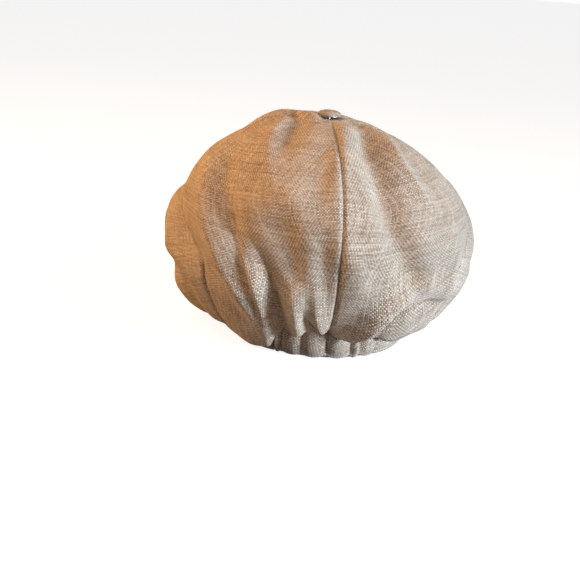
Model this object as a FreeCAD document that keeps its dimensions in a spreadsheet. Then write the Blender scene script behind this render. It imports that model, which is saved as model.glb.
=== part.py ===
import FreeCAD, Part
import Sketcher
import math
import os

# Newsboy cap: a six-panel puffed crown with its lining, a hem band with an elasticated back,
# a stiff curved peak and a cloth-covered top button.
#
# Frame, in millimetres: +Z up, -Y towards the front where the peak is, +Y the back, +X the wearer's
# left. The origin is the centre of the head opening, in the plane of the hem that the cap rests on.

V = FreeCAD.Vector
UP = V(0, 0, 1)
TO_LEFT = V(1, 0, 0)
TO_BACK = V(0, 1, 0)

# Driving dimensions, millimetres and degrees.
SIZES = {
    # Head opening and hem band
    "hem_half_width": 85.0,
    "hem_half_depth": 105.0,
    "band_height": 20.0,
    "band_cloth": 1.2,
    "interfacing_gap": 1.4,
    "interfacing_cloth": 1.4,
    "sweatband_inset": 3.3,
    "sweatband_cloth": 1.0,
    "sweatband_height": 32.0,
    "label_inset": 4.5,
    "label_cloth": 0.4,
    "label_half_width": 18.0,
    "label_base": 9.0,
    "label_height": 16.0,
    # Curve of the front hem, which lifts where the peak is sewn on
    "arch_radius": 193.0,
    "arch_front": 115.0,
    "arch_rise": 8.0,
    # Elasticated back
    "elastic_half_width": 43.0,
    "slip_gap": 0.3,
    "casing_cloth": 1.0,
    "casing_height": 19.3,
    "elastic_inset": 1.2,
    "elastic_thickness": 0.8,
    "elastic_base": 2.0,
    "elastic_height": 16.0,
    "facing_inset": 2.2,
    "facing_cloth": 0.8,
    "tack_offset": 1.0,
    "tack_width": 1.4,
    "tack_thread": 0.6,
    "tack_base": 3.0,
    "tack_height": 14.0,
    # Crown
    "mouth_half_width": 83.6,
    "mouth_half_depth": 103.6,
    "mouth_height": 60.0,
    "crown_cloth": 1.2,
    "lining_gap": 0.3,
    "lining_cloth": 0.8,
    "lining_mouth_half_width": 82.0,
    "lining_mouth_half_depth": 102.0,
    "panel_angle": 60.0,
    "first_panel_start": 30.0,
    "sector_radius": 220.0,
    "sector_height": 260.0,
    # Peak
    "peak_half_width": 78.0,
    "peak_half_depth": 116.0,
    "peak_setback": 50.0,
    "peak_end": 54.0,
    "peak_root_gap": 2.0,
    "peak_root_height": 13.0,
    "peak_curve_radius": 250.0,
    "peak_slope_angle": 7.4,
    "peak_plan_reach": 100.0,
    "peak_under_cloth": 0.9,
    "peak_board_thickness": 1.8,
    "peak_top_cloth": 0.9,
    "board_inset": 2.5,
    # Button
    "apex_height": 190.0,
    "shank_hole_radius": 3.0,
    "button_lift": 1.9,
    "button_radius": 10.5,
    "button_height": 5.0,
    "button_dome_radius": 19.9,
    "button_cloth": 0.8,
    "button_shell_gap": 0.1,
    "button_shell_thickness": 0.6,
    "plate_radius": 9.4,
    "plate_thickness": 0.6,
    "shank_radius": 1.3,
    "shank_length": 4.6,
    "backing_radius": 8.0,
    "backing_thickness": 0.8,
    "backing_drop": 3.9,
}

# Level outlines of the crown from its floor up: half width (X), half depth (Y), how far the outline's
# centre lies behind the origin, and height. Each is an ellipse whose long axis runs front to back.
RINGS = [
    ("floor", 104.0, 119.0, -1.0, 20.0),
    ("skirt", 121.0, 131.0, -3.0, 36.0),
    ("belly", 135.0, 141.0, -4.0, 60.0),
    ("widest", 141.0, 143.5, -5.0, 86.0),
    ("shoulder", 136.5, 140.0, -5.0, 111.0),
    ("upper", 123.0, 127.0, -5.0, 135.0),
    ("slope", 102.0, 107.0, -4.0, 156.0),
    ("dome", 74.0, 80.0, -3.0, 172.5),
    ("crest", 42.0, 46.0, -1.0, 184.0),
    ("apex", 12.0, 13.0, 0.0, 190.0),
]

# Crown and lining panels, one after another round the button from the wearer's left back.
PANELS = ["back_left", "back_right", "side_right", "front_right", "front_left", "side_left"]

# Turn, in degrees, that lays an ellipse's long axis, or a cylinder's own axis, square to where it starts.
SQUARE = 90

# A sketch's own origin, as the geometry and point numbers that constraints ask for.
SKETCH_ORIGIN = (-1, 1)
CIRCLE_CENTRE = 3

doc = FreeCAD.newDocument("newsboy_cap")
sub_parts = []


def fill_sheet():
    """Put every driving dimension in the sheet, one aliased cell each."""
    sheet = doc.addObject("Spreadsheet::Sheet", "sizes")
    cells = dict(SIZES)
    for name, width, depth, centre, height in RINGS:
        cells[name + "_ring_width"] = width
        cells[name + "_ring_depth"] = depth
        cells[name + "_ring_centre"] = centre
        cells[name + "_ring_height"] = height
    for row, (alias, value) in enumerate(cells.items(), start=1):
        sheet.set(f"A{row}", alias)
        sheet.set(f"B{row}", str(value))
        sheet.setAlias(f"B{row}", alias)
    doc.recompute()


def bind(obj, **expressions):
    """Bind properties of obj to the sheet: each value is an expression in its aliases."""
    for prop, expression in expressions.items():
        obj.setExpression(prop.replace("__", "."), expression)
    return obj


def keep(obj, label):
    """Give a finished piece its label, which names its file, and list it for export."""
    obj.Label = label
    sub_parts.append(obj)
    return obj


# ---------------------------------------------------------------- shared shapes

def ellipse(name, half_width, half_depth, centre="0", height="0"):
    """Level ellipse with its long axis along Y; all four arguments are expressions."""
    outline = doc.addObject("Part::Ellipse", name)
    outline.Placement = FreeCAD.Placement(V(), FreeCAD.Rotation(UP, SQUARE))
    return bind(outline, MajorRadius=half_depth, MinorRadius=half_width,
                Placement__Base__y=centre, Placement__Base__z=height)


def prism(name, outline, length):
    """Solid made by drawing a level outline straight up by the expression length."""
    solid = doc.addObject("Part::Extrusion", name)
    solid.Base = outline
    solid.DirMode = "Custom"
    solid.Dir = UP
    solid.Solid = True
    return bind(solid, LengthFwd=length)


def box(name, **expressions):
    return bind(doc.addObject("Part::Box", name), **expressions)


def cut(name, base, tool):
    result = doc.addObject("Part::Cut", name)
    result.Base = base
    result.Tool = tool
    return result


def common(name, *shapes):
    result = doc.addObject("Part::MultiCommon", name)
    result.Shapes = list(shapes)
    return result


def oval_tube(name, inset, cloth, base="0", height="sizes.band_height"):
    """Upright oval tube that follows the hem: inset from the hem outline, with a wall of cloth."""
    outer = ellipse(name + "_outer", f"sizes.hem_half_width - ({inset})",
                    f"sizes.hem_half_depth - ({inset})", height=base)
    inner = ellipse(name + "_inner", f"sizes.hem_half_width - ({inset}) - {cloth}",
                    f"sizes.hem_half_depth - ({inset}) - {cloth}", height=base)
    return cut(name + "_wall", prism(name + "_filled", outer, height), prism(name + "_hollow", inner, height))


# ---------------------------------------------------------------- hem band and elasticated back

def make_hem():
    """Band, interfacing, sweatband and label, all lifted along the front by the hem's arch."""
    arch = bind(doc.addObject("Part::Cylinder", "hem_arch"), Radius="sizes.arch_radius",
                Height="4 * sizes.hem_half_width")
    arch.Placement = FreeCAD.Placement(V(), FreeCAD.Rotation(TO_BACK, SQUARE))
    bind(arch, Placement__Base__x="-2 * sizes.hem_half_width", Placement__Base__y="-sizes.arch_front",
         Placement__Base__z="sizes.arch_rise - sizes.arch_radius")

    back_gap = box("back_gap", Length="2 * (sizes.elastic_half_width + sizes.slip_gap)",
                   Width="2 * sizes.hem_half_depth", Height="3 * sizes.band_height",
                   Placement__Base__x="-sizes.elastic_half_width - sizes.slip_gap",
                   Placement__Base__z="-sizes.band_height")

    band = oval_tube("band", "0", "sizes.band_cloth")
    keep(cut("hem_band_cut", cut("band_open", band, back_gap), arch), "hem_band")
    stiffener = oval_tube("stiffener", "sizes.interfacing_gap", "sizes.interfacing_cloth")
    keep(cut("interfacing_cut", cut("stiffener_open", stiffener, back_gap), arch), "band_interfacing")
    lining_band = oval_tube("sweat", "sizes.sweatband_inset", "sizes.sweatband_cloth",
                            height="sizes.sweatband_height")
    keep(cut("sweatband_cut", lining_band, arch), "sweatband")

    label_tube = oval_tube("label", "sizes.label_inset", "sizes.label_cloth", "sizes.label_base",
                           "sizes.label_height")
    label_width = box("label_width", Length="2 * sizes.label_half_width", Width="2 * sizes.hem_half_depth",
                      Height="4 * sizes.band_height", Placement__Base__x="-sizes.label_half_width")
    keep(common("label_piece", label_tube, label_width), "size_label_blank")

    for side, start in (("left", "sizes.elastic_half_width + sizes.tack_offset"),
                        ("right", "-sizes.elastic_half_width - sizes.tack_offset - sizes.tack_width")):
        stitches = oval_tube("tack_" + side, "-sizes.tack_thread", "sizes.tack_thread",
                             "sizes.tack_base", "sizes.tack_height")
        place = box("tack_place_" + side, Length="sizes.tack_width", Width="2 * sizes.hem_half_depth",
                    Height="2 * sizes.band_height", Placement__Base__x=start)
        keep(common("tack_piece_" + side, stitches, place), "elastic_tack_" + side)


def make_back_band():
    """Casing halves, facing and elastic: the part of the hem that stretches backwards."""
    half = {
        "left": box("casing_left_place", Length="sizes.elastic_half_width", Width="2 * sizes.hem_half_depth",
                    Height="2 * sizes.band_height"),
        "right": box("casing_right_place", Length="sizes.elastic_half_width",
                     Width="2 * sizes.hem_half_depth", Height="2 * sizes.band_height",
                     Placement__Base__x="-sizes.elastic_half_width"),
    }
    whole = box("casing_place", Length="2 * sizes.elastic_half_width", Width="2 * sizes.hem_half_depth",
                Height="2 * sizes.band_height", Placement__Base__x="-sizes.elastic_half_width")
    casing = oval_tube("casing", "0", "sizes.casing_cloth", "sizes.slip_gap", "sizes.casing_height")
    for side, place in half.items():
        keep(common("casing_piece_" + side, casing, place), "elastic_casing_" + side)
    facing = oval_tube("facing", "sizes.facing_inset", "sizes.facing_cloth", "sizes.slip_gap",
                       "sizes.casing_height")
    keep(common("facing_piece", facing, whole), "casing_facing")
    elastic = oval_tube("elastic", "sizes.elastic_inset", "sizes.elastic_thickness", "sizes.elastic_base",
                        "sizes.elastic_height")
    keep(common("elastic_piece", elastic, whole), "elastic_strip")


# ---------------------------------------------------------------- crown and lining

def ring_slopes():
    """Outward direction of the crown's wall at each ring, as (sideways, upwards), from its neighbours."""
    slopes = []
    for index in range(len(RINGS)):
        below = RINGS[max(index - 1, 0)]
        above = RINGS[min(index + 1, len(RINGS) - 1)]
        rise = above[4] - below[4]
        spread = above[1] - below[1]
        length = math.hypot(rise, spread)
        slopes.append((rise / length, -spread / length))
    return slopes


def crown_loft(name, inset):
    """Closed puffed form through all rings, moved inwards everywhere by the expression inset."""
    sections = []
    last = len(RINGS) - 1
    for index, (ring, (sideways, upwards)) in enumerate(zip(RINGS, ring_slopes())):
        rise = f"- ({inset}) * {upwards:.4f}"
        if index == 0:
            rise = f"+ ({inset})"
        if index == last:
            rise = f"- ({inset})"
        cells = "sizes." + ring[0] + "_ring_"
        sections.append(ellipse(f"{name}_{ring[0]}", f"{cells}width - ({inset}) * {sideways:.4f}",
                                f"{cells}depth - ({inset}) * {sideways:.4f}", f"{cells}centre",
                                f"{cells}height {rise}"))
    loft = doc.addObject("Part::Loft", name)
    loft.Sections = sections
    loft.Solid = True
    return loft


def panels_of(name, outer_inset, inner_inset, mouth_width, mouth_depth):
    """One cloth layer of the crown, open at the mouth and at the shank hole, in six panels."""
    layer = cut(name + "_hollow", crown_loft(name + "_outside", outer_inset),
                crown_loft(name + "_inside", inner_inset))
    mouth = prism(name + "_mouth", ellipse(name + "_mouth_outline", mouth_width, mouth_depth),
                  "sizes.mouth_height")
    hole = bind(doc.addObject("Part::Cylinder", name + "_shank_hole"), Radius="sizes.shank_hole_radius",
                Height="sizes.sector_height")
    sewn = cut(name + "_pierced", cut(name + "_open", layer, mouth), hole)
    for order, panel in enumerate(PANELS):
        sector = doc.addObject("Part::Cylinder", f"{name}_{panel}_sector")
        sector.Placement = FreeCAD.Placement(V(), FreeCAD.Rotation(UP, SQUARE))
        bind(sector, Radius="sizes.sector_radius", Height="sizes.sector_height",
             Angle="sizes.panel_angle * 1 deg",
             Placement__Rotation__Angle=f"(sizes.first_panel_start + {order} * sizes.panel_angle) * 1 deg")
        keep(common(f"{name}_{panel}_piece", sewn, sector), f"{name}_panel_{panel}")


def make_crown():
    panels_of("crown", "0", "sizes.crown_cloth", "sizes.mouth_half_width", "sizes.mouth_half_depth")
    lining_outside = "sizes.crown_cloth + sizes.lining_gap"
    panels_of("lining", lining_outside, f"{lining_outside} + sizes.lining_cloth",
              "sizes.lining_mouth_half_width", "sizes.lining_mouth_half_depth")


# ---------------------------------------------------------------- peak

def crescent(name, inset):
    """Upright prism of the peak's plan: outer oval less the hem's oval, cut square at its two ends."""
    outline = ellipse(name + "_edge", f"sizes.peak_half_width - ({inset})",
                      f"sizes.peak_half_depth - ({inset})", "-sizes.peak_setback", "-sizes.peak_plan_reach")
    root = ellipse(name + "_root", f"sizes.hem_half_width + sizes.peak_root_gap + ({inset})",
                   f"sizes.hem_half_depth + sizes.peak_root_gap + ({inset})",
                   height="-sizes.peak_plan_reach")
    ends = box(name + "_ends", Length="8 * sizes.peak_half_width", Width="4 * sizes.peak_half_depth",
               Height="4 * sizes.peak_plan_reach", Placement__Base__x="-4 * sizes.peak_half_width",
               Placement__Base__y=f"-sizes.peak_end - ({inset})",
               Placement__Base__z="-2 * sizes.peak_plan_reach")
    plan = cut(name + "_plan", prism(name + "_filled", outline, "2 * sizes.peak_plan_reach"),
               prism(name + "_head", root, "2 * sizes.peak_plan_reach"))
    return cut(name + "_crescent", plan, ends)


def curved_sheet(name, start, thickness):
    """Shell of a long cylinder lying front to back and sloping down to the front, start above its base."""
    slope = "sizes.peak_slope_angle * 1 deg"
    half_length = "2 * sizes.hem_half_depth"
    shells = []
    for wall, extra in (("inner", "0"), ("outer", thickness)):
        barrel = doc.addObject("Part::Cylinder", f"{name}_{wall}")
        barrel.Placement = FreeCAD.Placement(V(), FreeCAD.Rotation(-TO_LEFT, SQUARE))
        bind(barrel, Height=f"2 * {half_length}", Radius=f"sizes.peak_curve_radius + {start} + {extra}",
             Placement__Rotation__Angle=f"{SQUARE} deg - {slope}",
             Placement__Base__y=f"-sizes.hem_half_depth - sizes.peak_root_gap - {half_length} * cos({slope})",
             Placement__Base__z=f"sizes.peak_root_height - sizes.peak_curve_radius / cos({slope})"
                                f" - {half_length} * sin({slope})")
        shells.append(barrel)
    return cut(name + "_sheet", shells[1], shells[0])


def make_peak():
    """Under cover, board and top cover, stacked face to face."""
    whole = crescent("peak", "0")
    inner = crescent("board", "sizes.board_inset")
    under = "sizes.peak_under_cloth"
    board = "sizes.peak_board_thickness"
    keep(common("under_piece", whole, curved_sheet("under", "0", under)), "peak_under_cover")
    keep(common("board_piece", inner, curved_sheet("board_layer", under, board)), "peak_board")
    keep(common("top_piece", whole, curved_sheet("top", f"{under} + {board}", "sizes.peak_top_cloth")),
         "peak_top_cover")


# ---------------------------------------------------------------- button

def plane_of(body, role):
    """The body's own origin plane with this role."""
    return next(item for item in body.Origin.OriginFeatures if item.Role == role)


def padded_disc(label, radius, thickness, height):
    """Round plate made from a circle sketch and a pad, its lower face at the expression height."""
    body = doc.addObject("PartDesign::Body", label + "_body")
    sketch = body.newObject("Sketcher::SketchObject", label + "_sketch")
    sketch.AttachmentSupport = [(plane_of(body, "XY_Plane"), "")]
    sketch.MapMode = "FlatFace"
    circle = sketch.addGeometry(Part.Circle(V(), UP, 1.0), False)
    sketch.addConstraint(Sketcher.Constraint("Coincident", circle, CIRCLE_CENTRE, *SKETCH_ORIGIN))
    rim = sketch.addConstraint(Sketcher.Constraint("Radius", circle, 1.0))
    sketch.setExpression(f"Constraints[{rim}]", radius)
    pad = body.newObject("PartDesign::Pad", label + "_pad")
    pad.Profile = sketch
    pad.setExpression("Length", thickness)
    bind(body, Placement__Base__z=height)
    return keep(body, label)


def dome(name, base, radius, sphere_radius):
    """Round-topped plug: a cylinder from the expression base upwards, capped by a sphere."""
    barrel = bind(doc.addObject("Part::Cylinder", name + "_barrel"), Radius=radius,
                  Height="2 * sizes.button_height", Placement__Base__z=base)
    ball = bind(doc.addObject("Part::Sphere", name + "_ball"), Radius=sphere_radius,
                Placement__Base__z="sizes.apex_height + sizes.button_lift + sizes.button_height"
                                   " - sizes.button_dome_radius")
    return common(name + "_plug", barrel, ball)


def make_button():
    seat = "sizes.apex_height + sizes.button_lift"
    cloth = "sizes.button_cloth"
    shell_inset = "sizes.button_cloth + sizes.button_shell_gap"
    cup_inset = f"{shell_inset} + sizes.button_shell_thickness"
    rim = f"{seat} + sizes.plate_thickness + sizes.button_shell_gap"
    cover = cut("cover_cup", dome("cover", seat, "sizes.button_radius", "sizes.button_dome_radius"),
                dome("cover_hollow", seat, f"sizes.button_radius - {cloth}",
                     f"sizes.button_dome_radius - {cloth}"))
    keep(cover, "button_cover")
    shell = cut("shell_cup", dome("shell", rim, f"sizes.button_radius - ({shell_inset})",
                                  f"sizes.button_dome_radius - ({shell_inset})"),
                dome("shell_hollow", rim, f"sizes.button_radius - ({cup_inset})",
                     f"sizes.button_dome_radius - ({cup_inset})"))
    keep(shell, "button_shell")
    padded_disc("button_back_plate", "sizes.plate_radius", "sizes.plate_thickness", seat)
    padded_disc("button_shank", "sizes.shank_radius", "sizes.shank_length", f"{seat} - sizes.shank_length")
    padded_disc("button_backing", "sizes.backing_radius", "sizes.backing_thickness",
                "sizes.apex_height - sizes.backing_drop")


# ---------------------------------------------------------------- checks and files

def check_document():
    """Stop if any object failed to compute or any piece isn't one or more valid solids."""
    for obj in doc.Objects:
        if "Invalid" in obj.State or "Error" in obj.State:
            raise RuntimeError(f"{obj.Name} failed: {obj.State}")
    labels = [obj.Label for obj in sub_parts]
    if len(set(labels)) != len(labels):
        raise RuntimeError("two pieces share a label")
    for obj in sub_parts:
        shape = obj.Shape
        if shape.isNull() or not shape.isValid() or not shape.Solids:
            raise RuntimeError(f"{obj.Label} has no valid solid")


def write_files():
    os.makedirs("parts", exist_ok=True)
    for obj in sub_parts:
        obj.Shape.exportStep(f"parts/{obj.Label}.step")
        print(f"{obj.Label}: {len(obj.Shape.Solids)} solid, {obj.Shape.Volume:.0f} mm3")


fill_sheet()
make_hem()
make_back_band()
make_crown()
make_peak()
make_button()
doc.recompute()
check_document()
write_files()
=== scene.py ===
import math

import bmesh
import bpy
import numpy as np
from bpy.props import FloatProperty, FloatVectorProperty, IntProperty, PointerProperty
from mathutils import Matrix, Vector


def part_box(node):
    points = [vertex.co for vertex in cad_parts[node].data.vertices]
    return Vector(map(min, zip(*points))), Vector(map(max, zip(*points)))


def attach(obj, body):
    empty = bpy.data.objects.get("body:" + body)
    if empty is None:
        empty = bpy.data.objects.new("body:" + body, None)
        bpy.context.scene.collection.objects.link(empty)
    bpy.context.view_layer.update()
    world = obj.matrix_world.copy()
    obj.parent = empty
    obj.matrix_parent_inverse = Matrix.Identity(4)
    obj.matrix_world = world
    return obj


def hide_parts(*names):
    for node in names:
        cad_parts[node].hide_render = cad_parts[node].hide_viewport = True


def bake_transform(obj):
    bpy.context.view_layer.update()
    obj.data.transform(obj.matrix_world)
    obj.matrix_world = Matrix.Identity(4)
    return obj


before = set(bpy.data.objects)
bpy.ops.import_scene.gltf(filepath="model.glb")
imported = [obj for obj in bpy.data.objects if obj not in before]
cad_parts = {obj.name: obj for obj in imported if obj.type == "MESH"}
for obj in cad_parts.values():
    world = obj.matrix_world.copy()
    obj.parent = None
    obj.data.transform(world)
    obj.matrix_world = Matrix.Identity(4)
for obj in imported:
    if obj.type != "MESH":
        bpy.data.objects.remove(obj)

bl_info = {
    "name": "Newsboy Cap",
    "version": (1, 0, 0),
    "blender": (4, 5, 0),
    "location": "View3D > Sidebar > Cap",
    "description": "Builds a linen newsboy cap, piece by piece, round its packed frame",
    "category": "Add Mesh",
}

MM = 0.001
SIDES = (("left", 1.0), ("right", -1.0))


# ---------------------------------------------------------------- sizes read from the frame

def joint_box(nodes):
    """Lowest and highest corners of several nodes together."""
    corners = np.array([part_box(node) for node in nodes])
    return corners[:, 0].min(axis=0), corners[:, 1].max(axis=0)


PANEL_NAMES = ("back_left", "side_left", "front_left", "front_right", "side_right", "back_right")
CROWN_LOW, CROWN_HIGH = joint_box(["crown_panel_" + name for name in PANEL_NAMES])
BAND_HIGH = joint_box(["sweatband", "hem_band"])[1]
CASING_HIGH = joint_box(["elastic_casing_left", "elastic_casing_right"])[1]
PEAK_LOW, PEAK_HIGH = joint_box(["peak_top_cover", "peak_under_cover"])
BUTTON_LOW, BUTTON_HIGH = joint_box(["button_cover"])

HEM_HALF_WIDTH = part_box("hem_band")[1][0]
HEM_HALF_DEPTH = -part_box("hem_band")[0][1]
BAND_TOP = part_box("hem_band")[1][2]
ELASTIC_HALF = CASING_HIGH[0]
CROWN_TOP = CROWN_HIGH[2]

# Azimuth is measured from straight back (+Y) towards the wearer's left (+X). The front hem is cut away in
# an arch: a circle across the cap, seen from the side.
ARCH_RADIUS = 193 * MM
ARCH_MIDDLE_Y = -115 * MM
ARCH_RISE = 8 * MM


# ---------------------------------------------------------------- curves, noise and meshes

def smooth_curve(points, position):
    """Catmull-Rom curve through points: position counts along them, 0 at the first, 1 at the second."""
    points = np.asarray(points, float)
    ends = (2 * points[0] - points[1], 2 * points[-1] - points[-2])
    held = np.concatenate([ends[0][None], points, ends[1][None]])
    start = np.clip(np.floor(position).astype(int), 0, len(points) - 2)
    part = (position - start)[..., None]
    before, first, second, after = (held[start + k] for k in range(4))
    return 0.5 * (2 * first + (second - before) * part
                  + (2 * before - 5 * first + 4 * second - after) * part ** 2
                  + (3 * first - before - 3 * second + after) * part ** 3)


def smooth_step(low, high, value):
    """0 below low, 1 above high, and 3x^2 - 2x^3 between them."""
    part = np.clip((value - low) / (high - low), 0.0, 1.0)
    return part * part * (3 - 2 * part)


def lattice_noise(points, seed):
    """Smooth noise in -1..1 at an array of 3-D points: random values on the whole-number lattice, mixed
    with the smooth step."""
    table = np.random.default_rng(seed).uniform(-1, 1, 4096)
    cell = np.floor(points).astype(np.int64)
    part = points - cell
    part = part * part * (3 - 2 * part)
    total = np.zeros(points.shape[:-1])
    for corner in range(8):
        step = np.array([corner & 1, corner >> 1 & 1, corner >> 2 & 1])
        weight = np.prod(np.where(step == 1, part, 1 - part), axis=-1)
        key = (cell + step) @ np.array([73856093, 19349663, 83492791])
        total += weight * table[np.mod(key, 4096)]
    return total


def unit(vectors):
    """Vectors divided by their lengths."""
    return vectors / np.maximum(np.linalg.norm(vectors, axis=-1, keepdims=True), 1e-12)


def grid_mesh(name, points, cloth_uv=None):
    """Mesh of quads on a grid of points (rows, columns, 3), with a map called cloth in metres."""
    rows, columns = points.shape[:2]
    index = np.arange(rows * columns).reshape(rows, columns)
    quads = np.stack([index[:-1, :-1], index[1:, :-1], index[1:, 1:], index[:-1, 1:]], axis=-1).reshape(-1, 4)
    vertex_uv = None if cloth_uv is None else cloth_uv.reshape(-1, 2)
    return mesh_from(name, points.reshape(-1, 3), quads, vertex_uv)


def mesh_from(name, vertices, quads, vertex_uv=None):
    """Linked object from arrays of vertices, quads and, where given, one map place for each vertex."""
    mesh = bpy.data.meshes.new(name)
    mesh.vertices.add(len(vertices))
    mesh.vertices.foreach_set("co", np.ascontiguousarray(vertices, dtype=np.float32).ravel())
    mesh.loops.add(quads.size)
    mesh.loops.foreach_set("vertex_index", quads.ravel().astype(np.int32))
    mesh.polygons.add(len(quads))
    mesh.polygons.foreach_set("loop_start", np.arange(0, quads.size, 4, dtype=np.int32))
    mesh.polygons.foreach_set("loop_total", np.full(len(quads), 4, dtype=np.int32))
    mesh.update(calc_edges=True)
    mesh.validate()
    if vertex_uv is not None:
        layer = mesh.uv_layers.new(name="cloth")
        layer.data.foreach_set("uv", vertex_uv[quads.ravel()].astype(np.float32).ravel())
    mesh.polygons.foreach_set("use_smooth", np.ones(len(quads), dtype=bool))
    piece = bpy.data.objects.new(name, mesh)
    bpy.context.scene.collection.objects.link(piece)
    return piece


def close_mesh(piece):
    """Merge the doubled points of a closed form at its seams and poles, cap any open end, and turn its
    faces outwards."""
    work = bmesh.new()
    work.from_mesh(piece.data)
    bmesh.ops.remove_doubles(work, verts=work.verts, dist=2e-6)
    bmesh.ops.dissolve_degenerate(work, edges=work.edges, dist=1e-6)
    rims = [edge for edge in work.edges if edge.is_boundary]
    bmesh.ops.holes_fill(work, edges=rims, sides=0)
    bmesh.ops.recalc_face_normals(work, faces=work.faces)
    work.to_mesh(piece.data)
    work.free()
    return piece


def strip_section(faces=9, arc=4):
    """Closed section of a strip with rounded edges, as three rows: across (1 on the outer face, -1 on the
    inner), up the flat faces (-1 to 1), and round the edges (-1 to 1, 0 on the flats)."""
    up = np.linspace(-1, 1, faces)
    turn = np.linspace(0, np.pi, 2 * arc + 1)[1:-1]
    flat, held = np.ones(faces), np.ones(len(turn))
    across = np.concatenate([flat, np.cos(turn), -flat, -np.cos(turn), [1.0]])
    core = np.concatenate([up, held, up[::-1], -held, [-1.0]])
    tip = np.concatenate([0 * up, np.sin(turn), 0 * up, -np.sin(turn), [0.0]])
    return across, core, tip


def strip_grid(middle, outward, upward, half_thickness, half_height, faces=9, arc=4):
    """Points of a strip carried along a path: middle, outward and upward are (stations, 3), the half sizes
    are (stations)."""
    across, core, tip = strip_section(faces, arc)
    half_thickness, half_height = half_thickness[:, None], half_height[:, None]
    out = across * half_thickness
    rise = core * (half_height - half_thickness) + tip * half_thickness
    return middle[:, None] + outward[:, None] * out[..., None] + upward[:, None] * rise[..., None]


def squeezed_ends(stations, share, ends=(True, True)):
    """1 along a strip, falling as a quarter circle to 0 at its ends over a share of its length."""
    place = np.linspace(0, 1, stations)
    start = place / share if ends[0] else np.ones(stations)
    end = (1 - place) / share if ends[1] else np.ones(stations)
    return np.sqrt(1 - (1 - np.clip(np.minimum(start, end), 0, 1)) ** 2)


# ---------------------------------------------------------------- crown surface

# Outline of the crown from the button down to the band, as (distance out, height). Distances are shares
# of the crown's reach to that side, heights are shares of its top.
BACK_PROFILE = ((0.015, 0.993), (0.10, 0.997), (0.32, 0.978), (0.55, 0.908), (0.74, 0.815), (0.885, 0.700),
                (0.970, 0.575), (1.000, 0.450), (0.985, 0.325), (0.920, 0.222), (0.848, 0.163),
                (0.796, 0.130), (0.770, 0.112), (0.760, 0.102))
SIDE_PROFILE = ((0.014, 0.993), (0.10, 0.996), (0.30, 0.979), (0.52, 0.906), (0.71, 0.812), (0.860, 0.700),
                (0.960, 0.575), (1.000, 0.448), (0.985, 0.318), (0.905, 0.198), (0.800, 0.098),
                (0.715, 0.055), (0.640, 0.062), (0.607, 0.104))
FRONT_PROFILE = ((0.014, 0.993), (0.10, 0.996), (0.32, 0.976), (0.55, 0.900), (0.745, 0.800), (0.890, 0.690),
                 (0.975, 0.565), (1.000, 0.440), (0.985, 0.318), (0.925, 0.220), (0.845, 0.148),
                 (0.775, 0.110), (0.735, 0.104), (0.709, 0.106))


def crown_base(azimuth, down):
    """Smooth crown without seams or creases. down runs from 0 at the button to 1 at the band. At each
    down the back, side and front outlines give three distances, joined round the crown by half ellipses,
    and three heights, mixed by the squared cosine of the azimuth."""
    position = down * (len(BACK_PROFILE) - 1)
    back, side, front = (smooth_curve(p, position) for p in (BACK_PROFILE, SIDE_PROFILE, FRONT_PROFILE))
    cosine, sine = np.cos(azimuth), np.sin(azimuth)
    share_back = np.maximum(cosine, 0) ** 2
    share_front = np.maximum(-cosine, 0) ** 2
    share_side = 1 - share_back - share_front
    reach = np.where(cosine >= 0, back[..., 0] * CROWN_HIGH[1], -front[..., 0] * CROWN_LOW[1])
    out = 1 / np.sqrt((sine / (side[..., 0] * CROWN_HIGH[0])) ** 2 + (cosine / reach) ** 2)
    height = (share_back * back[..., 1] + share_side * side[..., 1] + share_front * front[..., 1]) * CROWN_TOP
    return np.stack([out * sine, out * cosine, height], axis=-1)


def crown_directions(azimuth, down):
    """Base point, outward normal, and the unit directions round and down the crown, by differences."""
    step = 0.002
    place = crown_base(azimuth, down)
    round_way = unit(crown_base(azimuth + step, down) - crown_base(azimuth - step, down))
    below, above = np.minimum(down + step, 1), np.maximum(down - step, 0)
    down_way = unit(crown_base(azimuth, below) - crown_base(azimuth, above))
    return place, unit(np.cross(round_way, down_way)), round_way, down_way


# Where each seam leaves the hem and the button: the hem's six equal shares are narrower at the back.
SEAM_TOP = {0: 0.0, 1: 92.0, 2: 134.0, 3: 180.0}
SEAM_HEM = {0: 0.0, 1: 51.0, 2: 129.0, 3: 180.0}
PANELS = (("back_left", 0, 1, 1), ("side_left", 1, 2, 1), ("front_left", 2, 3, 1),
          ("front_right", 3, 2, -1), ("side_right", 2, 1, -1), ("back_right", 1, 0, -1))


def seam_azimuth(seam, side, down):
    """Azimuth of a seam, in radians: steady above the crown's widest level and below it, and smoothly
    drawn round to its place on the hem between them."""
    turn = smooth_step(0.34, 0.58, down)
    return side * np.radians(SEAM_TOP[seam] + (SEAM_HEM[seam] - SEAM_TOP[seam]) * turn)


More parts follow.
